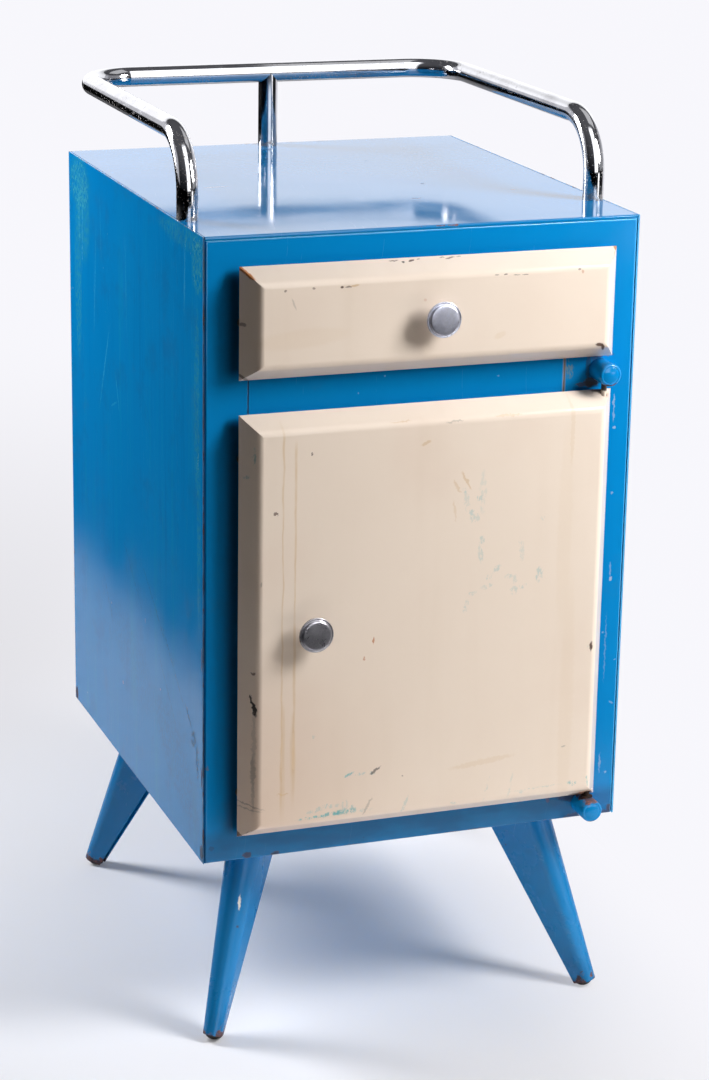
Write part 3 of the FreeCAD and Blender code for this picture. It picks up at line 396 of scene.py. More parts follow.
DOOR_MARKS = (
    ("smudge", (31.2, 515, 2.2, 1.8, 0, 0.55), (45.6, 507, 2, 1.8, 0, 0.5), (38, 494.5, 2.2, 1.8, 20, 0.5),
     (40.9, 489.7, 4.2, 3.2, 0, 0.42), (34, 503, 2, 10, 8, 0.3), (48.5, 512, 2.4, 14, 0, 0.25),
     (48.7, 468.2, 2.2, 2.6, 0, 0.5), (47.9, 455.3, 1.6, 6, 10, 0.42), (64.3, 440.7, 2.8, 1.8, 30, 0.5),
     (56.7, 433.7, 3.2, 1.6, 35, 0.45), (75.8, 431.9, 3, 1.6, 0, 0.42), (81.6, 428.8, 1.6, 3, 0, 0.35),
     (80.7, 418.7, 2.6, 3, 0, 0.4), (54.8, 424.6, 4, 1.4, 15, 0.35), (39.6, 418.9, 4, 1.4, 20, 0.35),
     (35.8, 410.8, 1.2, 5, 0, 0.35), (88.4, 421.1, 3.2, 1.3, 20, 0.5), (105.5, 434.2, 2.2, 3, 10, 0.55),
     (104.6, 428.7, 2.4, 3.4, 0, 0.6), (106.1, 483.1, 1.6, 1.3, 0, 0.55), (87.1, 456.3, 1.8, 8, 5, 0.28),
     (33.9, 404.4, 1.2, 3, 0, 0.35)),
    ("tan", (32.5, 524, 1, 7, 28, 0.45), (24, 519, 0.9, 5, 30, 0.35), (22, 497, 0.7, 7, 8, 0.25),
     (-6, 560.6, 3.6, 1, 20, 0.45)),
    ("grey", (20.3, 577.9, 5.5, 0.6, 4, 0.5)),
    ("tan", (70.8, 579.5, 9, 0.6, 0, 0.35), (-29, 580.8, 7, 0.5, 0, 0.4), (132.3, 562, 1.4, 22, 0, 0.16),
     (128, 470, 5, 70, 0, 0.06), (136, 300, 5, 90, 0, 0.07)),
    ("brown", (-110, 558.6, 0.8, 1, 0, 0.8), (-142.6, 508, 1.4, 0.8, 0, 0.8)),
    ("teal", (-105.5, 300, 0.8, 2, 0, 0.2)),
    ("brown", (-160.6, 363.7, 1.2, 0.9, 0, 0.8)),
    ("grey", (-155.4, 445.7, 0.7, 1.6, 0, 0.6), (135, 263.8, 1.6, 0.7, 0, 0.55)),
    ("orange", (-51.5, 384.7, 0.6, 2.4, 0, 0.8), (-59.9, 368.6, 0.6, 1.6, 0, 0.6)),
    ("brown", (158.8, 358.3, 1.3, 3.2, 0, 0.95)),
    ("teal", (155.6, 358.5, 0.6, 0.7, 0, 0.5), (-72.5, 260.7, 3.6, 0.9, 25, 0.8)),
    ("smudge", (-61.1, 260.1, 3.2, 1, 5, 0.6)),
    ("teal", (-49.8, 260.3, 1.4, 1.4, 0, 0.35)),
    ("dark", (-47.5, 262, 4.2, 0.8, 30, 0.7)),
    ("teal", (-109, 223.9, 9, 0.9, 3, 0.75), (-91, 224.9, 9, 1.3, 4, 0.85), (-77, 226.2, 7, 1.8, 4, 0.75),
     (-69.5, 227.5, 3, 2.6, 0, 0.65)),
    ("smudge", (-100, 231.5, 9, 1.6, 12, 0.55), (-90, 233, 6, 1.4, 0, 0.5), (-76, 232.5, 2.4, 3.6, 0, 0.45),
     (-60, 225.5, 7, 1.2, 0, 0.5), (-18.2, 226, 1, 6.5, -20, 0.5)),
    ("grey", (-54.3, 228.4, 0.7, 6.5, -28, 0.5)),
    ("teal", (145, 226.9, 3.2, 1.6, -8, 0.75), (160.5, 226.9, 0.7, 4, 8, 0.5)),
    ("smudge", (95.8, 223.6, 2, 0.9, 0, 0.6), (29.6, 221.6, 3.4, 0.7, 0, 0.55),
     (110, 226.5, 18, 0.6, 2, 0.35), (60, 230, 0.8, 10, -12, 0.3), (84, 233, 0.8, 9, -10, 0.28)),
    ("tan", (55, 258, 22, 2, 6, 0.18)),
    ("dark", (-161.4, 338, 0.7, 4, 10, 0.95), (-160, 331, 1.1, 5, 8, 0.98)),
    ("teal", (-160.4, 558, 0.8, 6, 0, 0.55), (-165.6, 539.8, 1.4, 1.4, 0, 0.5)),
    ("dark", (-164, 240, 9, 0.5, -14, 0.45), (-163, 236, 7, 0.5, -6, 0.4)),
    ("grey", (-160, 290, 1, 26, 0, 0.4), (-160.4, 262, 0.9, 20, 0, 0.45)),
    ("brown", (-168.6, 208.4, 6, 1.4, -38, 0.85), (-162.4, 213.4, 5, 0.7, 42, 0.8)),
    ("tan", (-134, 249.5, 4, 0.6, 0, 0.5)),
    ("brown", (160, 208.6, 9, 1.6, 0, 0.85)),
    ("orange", (166, 211, 6, 2.6, 0, 0.5)),
    ("brown", (162, 592, 5, 1, 0, 0.75)),
    ("orange", (168, 589, 2.6, 1.8, 0, 0.3)),
)
DRAWER_MARKS = (
    ("brown", (-33.8, 719, 3, 0.35, 0, 0.7)),
    ("dark", (-25.3, 718, 1, 0.5, 0, 0.85)),
    ("brown", (-17.7, 718.6, 2, 0.45, 8, 0.9), (-11, 719.3, 1.4, 0.3, 0, 0.7),
     (10.8, 719.4, 1.6, 0.3, 0, 0.6), (18, 719.1, 3.4, 0.35, 6, 0.7), (26, 719.6, 1.8, 0.25, 0, 0.55),
     (-85.4, 702.3, 1.1, 0.8, 0, 0.95), (-79.7, 702.4, 2.2, 0.5, 0, 0.7)),
    ("tan", (-74, 703.2, 3, 0.6, 6, 0.6)),
    ("brown", (-136, 702, 0.9, 0.8, 0, 0.7), (-110.7, 702.8, 0.9, 0.7, 0, 0.6),
     (55.5, 705.2, 1.6, 0.35, 0, 0.7), (63.5, 705.2, 1.4, 0.4, 8, 0.75), (74, 704.3, 2.4, 0.3, 0, 0.65),
     (82, 704, 2.2, 0.3, 0, 0.65), (132.9, 706, 1, 0.8, 0, 0.6)),
    ("orange", (135.8, 703.9, 0.8, 1.2, 0, 0.5), (-171.4, 721.2, 1.6, 3.2, 42, 0.8),
     (-167, 717.2, 1.2, 5.4, 44, 0.9), (-163.8, 714.2, 1.2, 3.2, 44, 0.8), (174.2, 719.6, 1.6, 1.6, 0, 0.8),
     (170.5, 715, 0.5, 6, -45, 0.5)),
    ("brown", (154.8, 637.4, 3, 1.2, -10, 0.95), (159, 634.4, 1, 3.2, 30, 0.95)),
    ("grey", (-128, 690, 0.6, 4, 20, 0.35)),
    ("brown", (-168.2, 672, 1.6, 1.2, 0, 0.6), (-167, 625.6, 5, 0.9, -38, 0.7)),
    ("tan", (60, 652, 4, 2, 20, 0.14)),
    ("orange", (-10, 687, 1, 1, 0, 0.3)),
    ("tan", (-120, 660, 30, 6, 4, 0.08)),
    ("brown", (120, 623.6, 14, 0.6, 0, 0.45)),
)

# Stains that run down the door: x, top, bottom, width and wander in mm, then seed and strength
DOOR_RUNS = ((-135.8, 590, 216, 1.2, 5.0, 1.0, 0.42), (-124.6, 576, 230, 1.5, 3.0, 4.0, 0.42),
             (-134.5, 340, 214, 2.6, 3.0, 7.0, 0.30), (-125.2, 330, 228, 3.2, 3.0, 9.0, 0.30))


# ------------------------------------------------------------------ materials
def colour(name, share=1.0):
    """A finish's colour from the settings, times share."""
    return [c * share for c in getattr(bpy.context.scene.cabinet_colours, name)[:3]]


class Coat:
    """A material in the making: a colour, a roughness and a height that are laid over step by step."""

    def __init__(self, name):
        self.material = bpy.data.materials.new(name)
        self.material.use_nodes = True
        tree = self.material.node_tree
        self.shader = tree.nodes["Principled BSDF"]
        self.g = Graph(tree)
        self.place = self.g.node("ShaderNodeTexCoord").outputs["Object"]
        self.color = self.roughness = self.height = self.caught = None
        noise = self.g.noises(self.place, 240.0, 3.0, 0.65)[1]
        centred = self.g.vector("SUBTRACT", noise, (0.5, 0.5, 0.5))
        self.ragged = self.g.vector("MULTIPLY", centred, (RAGGED, RAGGED, RAGGED))

    def noise(self, scale, detail=2.0, roughness=0.5, stretch=None):
        place = self.g.vector("MULTIPLY", self.place, stretch) if stretch else self.place
        return self.g.noise(place, scale, detail, roughness)

    def group(self, name, **inputs):
        """Outputs of a shared group, on the object's coordinates unless it is given others."""
        return self.g.node("ShaderNodeGroup", {"Vector": self.place, **inputs},
                           node_tree=bpy.data.node_groups[name]).outputs

    def specks(self, scale, amount, size, shift=None):
        place = self.g.vector("ADD", self.place, shift) if shift else self.place
        return self.group("Specks", Vector=place, Scale=scale, Amount=amount, Size=size)["Mask"]

    def scratches(self, place, scale, amount, bend):
        return self.group("Scratches", Vector=place, Scale=scale, Amount=amount, Bend=bend)["Mask"]

    def rust(self, share=1.0):
        return self.group("Rust", Color=colour("rust", share))["Color"]

    def crumble(self, scale, detail, reach):
        """An uneven shift of a rim, up to half of reach both ways."""
        return self.g.mul(self.g.sub(self.noise(scale, detail, 0.65), 0.5), reach)

    def film(self, color, faded, gloss, dull, drift=0.25):
        out = self.group("Enamel film", Color=color, Faded=faded, Drift=drift, Gloss=gloss, Dull=dull)
        self.color, self.roughness, self.height = out["Color"], out["Roughness"], out["Height"]

    def lay(self, mask, color, strength, roughness=None, depth=0.0):
        share = self.g.math("MULTIPLY", mask, strength, clamp=True)
        self.color = self.g.mix(share, self.color, color)
        if roughness is not None:
            self.roughness = self.g.blend(share, self.roughness, roughness)
        if depth:
            self.height = self.g.add(self.height, self.g.mul(share, depth))

    def flecks(self):
        """Where a smear of another paint caught the surface."""
        if self.caught is None:
            self.caught = self.g.ramp(self.noise(330.0, 5.0, 0.75, (1.0, 1.0, 0.55)), 0.45, 0.56)
        return self.caught

    def finish(self, **values):
        self.g.put(self.color, self.shader.inputs["Base Color"])
        self.g.put(self.roughness, self.shader.inputs["Roughness"])
        node = self.g.node("ShaderNodeBump", {"Height": self.height, "Strength": 1.0, "Distance": 1.0})
        self.g.put(node.outputs[0], self.shader.inputs["Normal"])
        for label, value in values.items():
            self.g.put(value, self.shader.inputs[label])
        return self.material


def plane(coat, order):
    """The object's coordinates with two axes swapped, so that marks lie in another plane."""
    parts = coat.g.split(coat.place)
    return coat.g.join(*[parts["XYZ".index(axis)] for axis in order])


def add_marks(coat, marks, place=None, ragged=1.0):
    """Lays on marks, as the tables above list them, in the plane of X and Z of place."""
    rough = coat.g.vector("SCALE", coat.ragged)
    rough.node.inputs["Scale"].default_value = ragged
    for tone, *places in marks:
        color, roughness, depth = TONES[tone]
        for x, z, width, height, turn, strength in places:
            mask = coat.group("Mark", Vector=place or coat.place, Ragged=rough, X=x * MM, Z=z * MM,
                              Width=width * MM, Height=height * MM, Turn=math.radians(turn),
                              Edge=MARK_EDGE)["Mask"]
            if tone in BROKEN:
                mask = coat.g.mul(mask, coat.flecks())
            coat.lay(mask, color, strength, roughness, depth)


def blue_coat(name, low, high, marks=(), order=None, scratch=0.1, edge=1.2, grime=0.5, gloss=(0.07, 0.13),
              flecks=0.05, shade=1.0):
    """Blue enamel with worn edges, scratches, dust, dark and pale specks, and marks."""
    coat = Coat(name)
    # A shade below 1 gives a darker copy of the enamel: painted shade.
    coat.film(colour("blue", shade), [c * shade for c in FADED_BLUE], *gloss)
    turned = plane(coat, order) if order else coat.place
    coat.lay(coat.scratches(turned, 150.0, scratch, 0.05), (0.20, 0.52, 0.80), 0.22, 0.35)
    dust = coat.g.ramp(coat.noise(22.0, 6.0, 0.7), 0.56, 0.8)
    coat.lay(dust, (0.05, 0.16, 0.30), 0.35 * grime, 0.4)
    coat.lay(coat.specks(42.0, 0.08, 0.06), (0.02, 0.025, 0.04), 0.8)
    coat.lay(coat.specks(55.0, flecks, 0.06, (3.0, 1.0, 2.0)), (0.20, 0.50, 0.78), 0.6)
    worn = coat.group("Worn edge", Low=low, High=high, Width=edge * MM, Ragged=1.0)
    coat.lay(worn["Line"], (0.16, 0.42, 0.70), 0.30, 0.35)
    coat.lay(worn["Mask"], coat.rust(), 0.9, 0.75, -0.00005)
    add_marks(coat, marks, turned)
    return coat


def blue_face(low, high):
    """Face frame and middle rail: seams, a foot darkened by painted shade and grime, painted highlights in the
    dark channels at the right and top edges, and painted shadow to the left of the pans.
    """
    coat = blue_coat("ward_blue_front", low, high, FRAME_MARKS, scratch=0.12, edge=1.3)
    g = coat.g
    x, _, z = g.split(coat.place)
    band = g.mul(g.ramp(z, MIDDLE_LOW.z - MM, MIDDLE_LOW.z), g.ramp(z, MIDDLE_HIGH.z + MM, MIDDLE_HIGH.z))
    for seam, reach, tone, strength in ((MIDDLE_LOW.x, 0.9, "brown", 0.8), (MIDDLE_HIGH.x, 2.2, "stain", 0.85)):
        line = g.ramp(g.size(g.sub(x, seam)), reach * MM, 0.2 * MM)
        coat.lay(g.mul(line, band), TONES[tone][0], strength, 0.6)
    # A blotchy darker band along the foot: painted shade under the door pan, with grime.
    foot_blotches = g.ramp(coat.noise(26.0, 4.0, stretch=(1.0, 1.0, 3.0)), 0.25, 0.7)
    foot_shade_and_grime = g.mul(g.ramp(z, 214 * MM, 200 * MM), g.add(0.55, g.mul(foot_blotches, 0.45)))
    coat.lay(foot_shade_and_grime, (0.012, 0.075, 0.20), 0.62, 0.2)
    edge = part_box("face_frame")[1]
    # Pale blue in the channels at the frame's right and top edges: painted highlight where they fall in shade.
    groove_highlight = g.most(g.ramp(x, edge.x - 2.2 * MM, edge.x - 1.2 * MM),
                    g.ramp(z, edge.z - 1.4 * MM, edge.z - 0.6 * MM))
    coat.lay(groove_highlight, (0.15, 0.62, 0.95), 0.95, 0.2)
    # Near-black just left of each pan's rim: painted shadow of the pan.
    for left, foot, top in ((DOOR_LOW.x, DOOR_LOW.z, DOOR_HIGH.z), (DRAWER_LOW.x, DRAWER_LOW.z, DRAWER_HIGH.z)):
        pan_shadow_side = g.mul(g.ramp(x, left - 15 * MM, left - 2 * MM), g.ramp(x, left + 6 * MM, left))
        level = g.mul(g.ramp(z, foot - 6 * MM, foot + 10 * MM), g.ramp(z, top + 2 * MM, top - 14 * MM))
        coat.lay(g.mul(pan_shadow_side, level), (0.0, 0.02, 0.06), 0.85)
    return coat


def blue_side(low, high):
    """Side panels and bottom: streaked from top to bottom, a dark seam at the left one's front edge, and the
    right one's front edge laid over in clean blue, with a painted highlight on its outer rim."""
    coat = blue_coat("ward_blue_side", low, high, SIDE_MARKS, order="YXZ", scratch=0.30,
                     edge=1.1, grime=0.8, flecks=0.02)
    g = coat.g
    x, y, _ = g.split(coat.place)
    seam = g.mul(g.ramp(y, FRONT + 2.0 * MM, FRONT + 0.9 * MM), g.math("LESS_THAN", x, 0.0))
    right_front_edge = g.mul(g.ramp(y, FRONT + 4.0 * MM, FRONT + 3.0 * MM), g.math("GREATER_THAN", x, 0.0))
    coat.lay(right_front_edge, colour("blue"), 1.0, 0.1)
    # Pale blue at the right panel's outer rim: painted highlight in the shaded seam by the face frame.
    coat.lay(g.mul(right_front_edge, g.ramp(x, RIGHT - 0.3 * MM, RIGHT - 0.6 * MM)), (0.12, 0.55, 0.92), 1.0, 0.2)
    coat.lay(g.mul(seam, g.ramp(coat.noise(30.0, 3.0), 0.3, 0.6, 0.5, 1.0)), (0.012, 0.014, 0.016), 0.85, 0.6)
    streaks = coat.noise(1.0, 5.0, 0.7, (0.0, 60.0, 2.0))
    patches = g.ramp(coat.noise(7.0, 4.0, 0.6), 0.36, 0.62, 0.2, 1.0)
    coat.lay(g.mul(g.ramp(streaks, 0.50, 0.72), patches), (0.010, 0.33, 0.56), 0.42)
    coat.lay(g.mul(g.ramp(streaks, 0.48, 0.30), patches), (0.001, 0.15, 0.42), 0.30)
    coat.lay(g.ramp(coat.noise(18.0, 5.0, 0.7), 0.50, 0.72), (0.012, 0.13, 0.32), 0.28, 0.3)
    return coat


def blue_leg():
    """Legs: duller, spotted with rust, and rusty where they meet the glides."""
    # Shade 0.78 makes the legs a darker copy of the blue: painted shade.
    coat = blue_coat("ward_blue_leg", *NOWHERE, scratch=0.15, grime=1.0, gloss=(0.22, 0.36), shade=0.78)
    g, rust = coat.g, coat.rust()
    foot = g.add(g.div(g.split(coat.place)[2], 14 * MM), coat.crumble(95.0, 5.0, 3.2))
    coat.lay(g.ramp(foot, 0.75, 0.45), rust, 0.9, 0.8, -0.00004)
    coat.lay(coat.specks(75.0, 0.13, 0.13), rust, 0.75, 0.7, -0.00004)
    add_marks(coat, [("white", (-155.5, 125, 0.9, 5, -6, 0.9))])
    return coat


def blue_post():
    """Hinge posts: rusty next to the door's pins, and the lower one at its own lower end."""
    coat = blue_coat("ward_blue_post", *NOWHERE, grime=0.3)
    g, rust = coat.g, coat.rust()
    z = g.split(coat.place)[2]
    crumble = coat.crumble(170.0, 4.0, 3.0)
    for end, way in POST_RUST:
        near = g.mul(g.sub(z, end * MM), way)
        inside = g.math("LESS_THAN", g.size(near), 25 * MM)
        rough = g.add(g.div(near, 3 * MM), crumble)
        coat.lay(g.mul(g.ramp(rough, 1.0, 0.4), inside), rust, 0.9, 0.8, -0.00004)
    coat.lay(g.ramp(z, 187.2 * MM, 185.6 * MM), rust, 0.8, 0.8)
    return coat


def make_blue_materials():
    """One coat for each kind of blue piece, so that the wear follows its own edges."""
    box = (LEFT, FRONT, BASE), (RIGHT, BACK, TOP)
    back = blue_coat("ward_blue_back", *box, order="XZY", scratch=0.20, edge=1.1, grime=0.9, gloss=(0.30, 0.44),
                     flecks=0.02)
    # Shade 0.80 makes the top a darker copy of the blue: painted shade, so that its reflection stands out.
    top = blue_coat("ward_blue_top", *box, TOP_MARKS, order="XZY", scratch=0.20, edge=1.4, grime=0.12,
                    flecks=0.0, shade=0.80)
    coats = {"face": blue_face(*box), "side": blue_side(*box), "back": back, "top": top, "leg": blue_leg(),
             "post": blue_post()}
    return {key: coat.finish() for key, coat in coats.items()}


def pan_coat(name, low, high, marks, runs, ragged=1.0):
    """Cream enamel of a pan: its rim and folds are worn, its flat is stained, and the door's lower left is
    darkened as painted shade.
    """
    coat = Coat(name)
    g = coat.g
    coat.film(colour("cream"), (0.790, 0.670, 0.560), drift=0.22, gloss=0.15, dull=0.26)
    x, _, z = g.split(coat.place)
    # Darker toward the door's lower left: painted shade, where less light falls.
    corner = g.mul(g.ramp(x, 20 * MM, -160 * MM), g.ramp(z, 420 * MM, 220 * MM))
    coat.lay(corner, (0.640, 0.450, 0.340), 0.42)
    coat.lay(g.ramp(coat.noise(8.0, 3.0), 0.45, 0.75), (0.690, 0.500, 0.410), 0.16)
    haze = g.ramp(coat.noise(2.0, 3.0, stretch=(14.0, 14.0, 1.2)), 0.5, 0.8)
    coat.lay(haze, (0.60, 0.47, 0.34), 0.10)
    for x, top, bottom, width, wander, seed, strength in runs:
        mask = coat.group("Run", X=x * MM, Top=top * MM, Bottom=bottom * MM, Width=width * MM,
                          Wander=wander * MM, Seed=seed)["Mask"]
        coat.lay(mask, (0.64, 0.43, 0.19), strength, 0.35)
    worn = coat.group("Worn edge", Low=tuple(low), High=(high.x, high.y + 1, high.z), Width=1.6 * MM, Ragged=0.9)
    coat.lay(worn["Mask"], coat.rust(), 0.9, 0.75, -0.00005)
    coat.lay(coat.specks(46.0, 0.06, 0.06), (0.16, 0.10, 0.07), 0.55, 0.5, -0.00002)
    add_marks(coat, marks, ragged=ragged)
    return coat.finish()


def make_cream_materials():
    return {"door": pan_coat("cream_enamel_door", DOOR_LOW, DOOR_HIGH, DOOR_MARKS, DOOR_RUNS),
            "drawer": pan_coat("cream_enamel_drawer", DRAWER_LOW, DRAWER_HIGH, DRAWER_MARKS, (), ragged=0.4)}


def make_inside_material():
    """Pale paint inside: stained, scratched and specked with rust."""
    coat = Coat("inside_paint")
    coat.film(colour("inside"), (0.46, 0.44, 0.36), drift=0.4, gloss=0.32, dull=0.5)
    coat.lay(coat.g.ramp(coat.noise(16.0, 5.0, 0.7), 0.6, 0.78), (0.30, 0.20, 0.11), 0.35, 0.6)
    coat.lay(coat.scratches(plane(coat, "XZY"), 110.0, 0.3, 0.04), (0.25, 0.25, 0.25), 0.3)
    coat.lay(coat.specks(50.0, 0.12, 0.12), colour("rust"), 0.7, 0.7)
    return coat.finish()


def make_chrome_material():
    """Chrome that is pitted most under the left arm, and rusty at its feet."""
    coat = Coat("pitted_chrome")
    g = coat.g
    coat.color = g.mix(g.ramp(coat.noise(30.0, 3.0), 0.4, 0.8), colour("chrome"), (0.50, 0.50, 0.52))
    coat.roughness = g.ramp(coat.noise(55.0, 5.0, 0.7), 0.45, 0.85, 0.09, 0.24)
    coat.height = g.mul(coat.noise(40.0, 1.0), 0.00004)
    x, _, z = g.split(coat.place)
    arm = g.mul(g.ramp(x, -150 * MM, -185 * MM), g.ramp(z, RAIL_HIGH.z - 7 * MM, RAIL_HIGH.z - 12 * MM))
    zone = g.most(g.mul(g.ramp(coat.noise(11.0, 2.0), 0.40, 0.62), 0.45), arm)
    fine = g.mul(coat.specks(620.0, 0.50, 0.40), zone)
    large = g.mul(coat.specks(190.0, 0.22, 0.30, (1.7, 0.3, 0.9)), zone)
    foot = g.mul(g.ramp(z, TOP + 16 * MM, TOP + 0.5 * MM), g.ramp(coat.noise(130.0, 5.0, 0.7), 0.42, 0.62))
    coat.lay(fine, (0.15, 0.11, 0.085), 0.85, 0.6)
    coat.lay(large, (0.12, 0.07, 0.045), 0.9, 0.7)
    coat.lay(foot, (0.07, 0.05, 0.045), 0.7, 0.5)
    return coat.finish(Metallic=g.sub(1.0, g.most(fine, g.most(large, g.mul(foot, 0.5)))))


def make_knob_material(name, node, share, dull):
    """Turned aluminium: fine rings round the knob's axis, and years of handling."""
    low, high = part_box(node)
    coat = Coat(name)
    g = coat.g
    x, _, z = g.split(g.vector("SUBTRACT", coat.place, tuple((low + high) / 2)))
    radius = g.math("SQRT", g.add(g.mul(x, x), g.mul(z, z)))
    rings = g.noise(g.join(g.mul(radius, 3200.0), 0.0, 0.0), 1.0, 3.0)
    cloud = coat.noise(130.0, 4.0, 0.6)
    tint = [c * s for c, s in zip(colour("aluminium"), share)]
    coat.color = g.mix(g.ramp(cloud, 0.35, 0.7), tint, [c * 0.62 for c in tint])
    coat.color = g.mix(g.ramp(rings, 0.4, 0.7, 0.0, 0.25), coat.color, (0.75, 0.75, 0.78))
    coat.roughness = g.ramp(cloud, 0.3, 0.75, dull, dull + 0.14)
    coat.height = g.mul(rings, 0.000010)
    coat.lay(coat.specks(520.0, 0.14, 0.3), (0.12, 0.12, 0.13), 0.5, 0.5, -0.00001)
    return coat.finish(Metallic=1.0)


def make_steel_material(name, rusted, shade_share=1.0):
    """Plated steel; where rusted is high, rust covers it, and a last argument below 1 darkens it all as painted
    shade.
    """
    coat = Coat(name)
    g = coat.g
    cloud = coat.noise(90.0, 5.0, 0.6)
    clean, stained = ([c * shade_share for c in color] for color in ((0.55, 0.55, 0.52), (0.36, 0.35, 0.32)))
    coat.color = g.mix(g.ramp(cloud, 0.3, 0.7), clean, stained)
    coat.roughness = g.ramp(cloud, 0.3, 0.7, 0.28, 0.46)
    coat.height = g.mul(cloud, 0.00002)
    spread = g.ramp(coat.noise(70.0, 5.0, 0.7), 0.75 - rusted * 0.5, 0.85 - rusted * 0.5)
    coat.lay(spread, coat.rust(shade_share), 1.0, 0.8, 0.00003)
    return coat.finish(Metallic=g.sub(1.0, spread))


def make_pin_material():
    """The upper pin: brushed over with the door's enamel, and near-black next to the post: painted shadow of the
    post, with rust.
    """
    coat = Coat("painted_pin")
    g = coat.g
    coat.film(colour("cream"), (0.50, 0.38, 0.28), gloss=0.3, dull=0.5)
    # Near-black from just above the door's top: painted shadow of the post.
    near = g.add(g.div(g.sub(g.split(coat.place)[2], DOOR_HIGH.z), 4 * MM), coat.crumble(260.0, 4.0, 1.6))
    coat.lay(g.ramp(near, -0.25, 0.35), (0.022, 0.012, 0.010), 0.97, 0.7)
    return coat.finish()


def make_plain_material(name, color, other, roughness, metallic=0.0, noise=(150.0, 4.0, 0.6),
                        step=(0.35, 0.7), relief=0.00003):
    """Moulded or ground piece with a slight mottle; roughness goes from its first value to its second."""
    coat = Coat(name)
    cloud = coat.noise(*noise)
    coat.color = coat.g.mix(coat.g.ramp(cloud, *step), color, other)
    coat.roughness = coat.g.ramp(cloud, 0.3, 0.7, *roughness)
    coat.height = coat.g.mul(cloud, relief)
    return coat.finish(Metallic=metallic)


# ------------------------------------------------------------------ meshes
def settle(piece, finish, body, angle=None):
    """Finish, smooth shading and the body that the piece rides on."""
    piece.data.materials.clear()
    piece.data.materials.append(FINISH[finish])
    piece.data.shade_smooth()
    piece.data.set_sharp_from_angle(angle=angle or bpy.context.scene.cabinet_sizes.smooth_angle)
    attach(piece, body)


def new_object(name, data):
    piece = bpy.data.objects.new(name, data)
    bpy.context.scene.collection.objects.link(piece)
    return piece


def mesh_of(shape, name):
    """Turns an edit mesh into a mesh and frees it."""
    mesh = bpy.data.meshes.new(name)
    shape.to_mesh(mesh)
    shape.free()
    return mesh


def body_of_node(node):
    return NODES[node]["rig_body"]


def dressed(node, finish):
    """A copy of a solid with its triangles joined and its curves shaded smooth, in its place."""
    shape = bmesh.new()
    shape.from_mesh(NODES[node].data)
    bmesh.ops.remove_doubles(shape, verts=shape.verts, dist=1e-6)
    bmesh.ops.dissolve_limit(shape, angle_limit=math.radians(FLAT), verts=shape.verts, edges=shape.edges)
    piece = new_object(f"{node}_finish", mesh_of(shape, node))
    settle(piece, finish, body_of_node(node))
    piece.modifiers.new("facing", "WEIGHTED_NORMAL").keep_sharp = True
    slot_of(node)
    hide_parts(node)


def slot_of(node):
    """The material slot that the record gives the piece."""
    for entry in frame["record"]["subparts"]:
        if entry["node"] == node:
            return entry["material_slot"]
    raise ValueError(f"no slot for {node}")


def paint(node, finish):
    """Gives a carried-over solid its finish."""
    NODES[node].data.materials.clear()
    NODES[node].data.materials.append(FINISH[finish])


def lathe(name, profile, centre):
    """Turns a profile of (radius, distance) about the line through centre that points to the front."""
    shape = bmesh.new()
    rings = []
    for radius, distance in profile:
        y = centre.y - distance
        turns = [2 * math.pi * k / TURNS for k in range(TURNS)] if radius > 0 else [0.0]
        rings.append([shape.verts.new((centre.x + radius * math.cos(a), y, centre.z + radius * math.sin(a)))
                      for a in turns])
    for first, second in zip(rings, rings[1:]):
        for k in range(TURNS):
            corners = [ring[j % len(ring)] for ring, j in
                       ((first, k), (first, (k + 1) % TURNS), (second, (k + 1) % TURNS), (second, k))]
            unique = list(dict.fromkeys(corners))
            if len(unique) > 2:
                shape.faces.new(unique)
    bmesh.ops.recalc_face_normals(shape, faces=shape.faces)
    return new_object(name, mesh_of(shape, name))


def turned(node, profile, foot, finish, sharp):
    """Puts a turned piece in the place of a round solid that stands on the plane y = foot."""
    low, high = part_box(node)
    piece = lathe(f"{node}_turned", profile, Vector(((low.x + high.x) / 2, foot, (low.z + high.z) / 2)))
    settle(piece, finish, body_of_node(node), math.radians(sharp))
    slot_of(node)
    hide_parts(node)


def arc(centre, radius, start, end, steps):
    """Points of an arc in the profile's plane, angles in degrees."""
    turns = [math.radians(start + (end - start) * k / steps) for k in range(steps + 1)]
    return [(centre[0] + radius * math.cos(a), centre[1] + radius * math.sin(a)) for a in turns]


# ------------------------------------------------------------------ geometry nodes
def geometry_tree(name, inputs):
    """A geometry node tree with a geometry input, the named inputs, and one output."""
    return node_group(name, {"Geometry": "g", **inputs}, {"Geometry": "g"}, "GeometryNodeTree")


def close_tree(graph, geometry, material, out):
    """Ends a geometry tree: instances become real and get their material."""
    real = graph.node("GeometryNodeRealizeInstances", {0: geometry})
    named = graph.node("GeometryNodeSetMaterial", {"Geometry": real.outputs[0], "Material": material})
    graph.put(named.outputs[0], out["Geometry"])


def make_tube_tree():
    """Sweeps a ring along a path whose corners are rounded first."""
    g, given, out = geometry_tree("Bent tube", {"Radius": "f", "Bend": "f", "Sides": "i", "Steps": "i",
                                                "Material": "m"})
    path = g.node("GeometryNodeMeshToCurve", {0: given["Geometry"]})
    bent = g.node("GeometryNodeFilletCurve", {"Curve": path.outputs[0], "Radius": given["Bend"]})
    bent.mode = "POLY"
    g.put(given["Steps"], bent.inputs["Count"])
    ring = g.node("GeometryNodeCurvePrimitiveCircle", {"Resolution": given["Sides"], "Radius": given["Radius"]})
    tube = g.node("GeometryNodeCurveToMesh", {"Curve": bent.outputs[0], "Profile Curve": ring.outputs[0],
                                              "Fill Caps": True})
    close_tree(g, tube.outputs[0], given["Material"], out)
    return g.tree


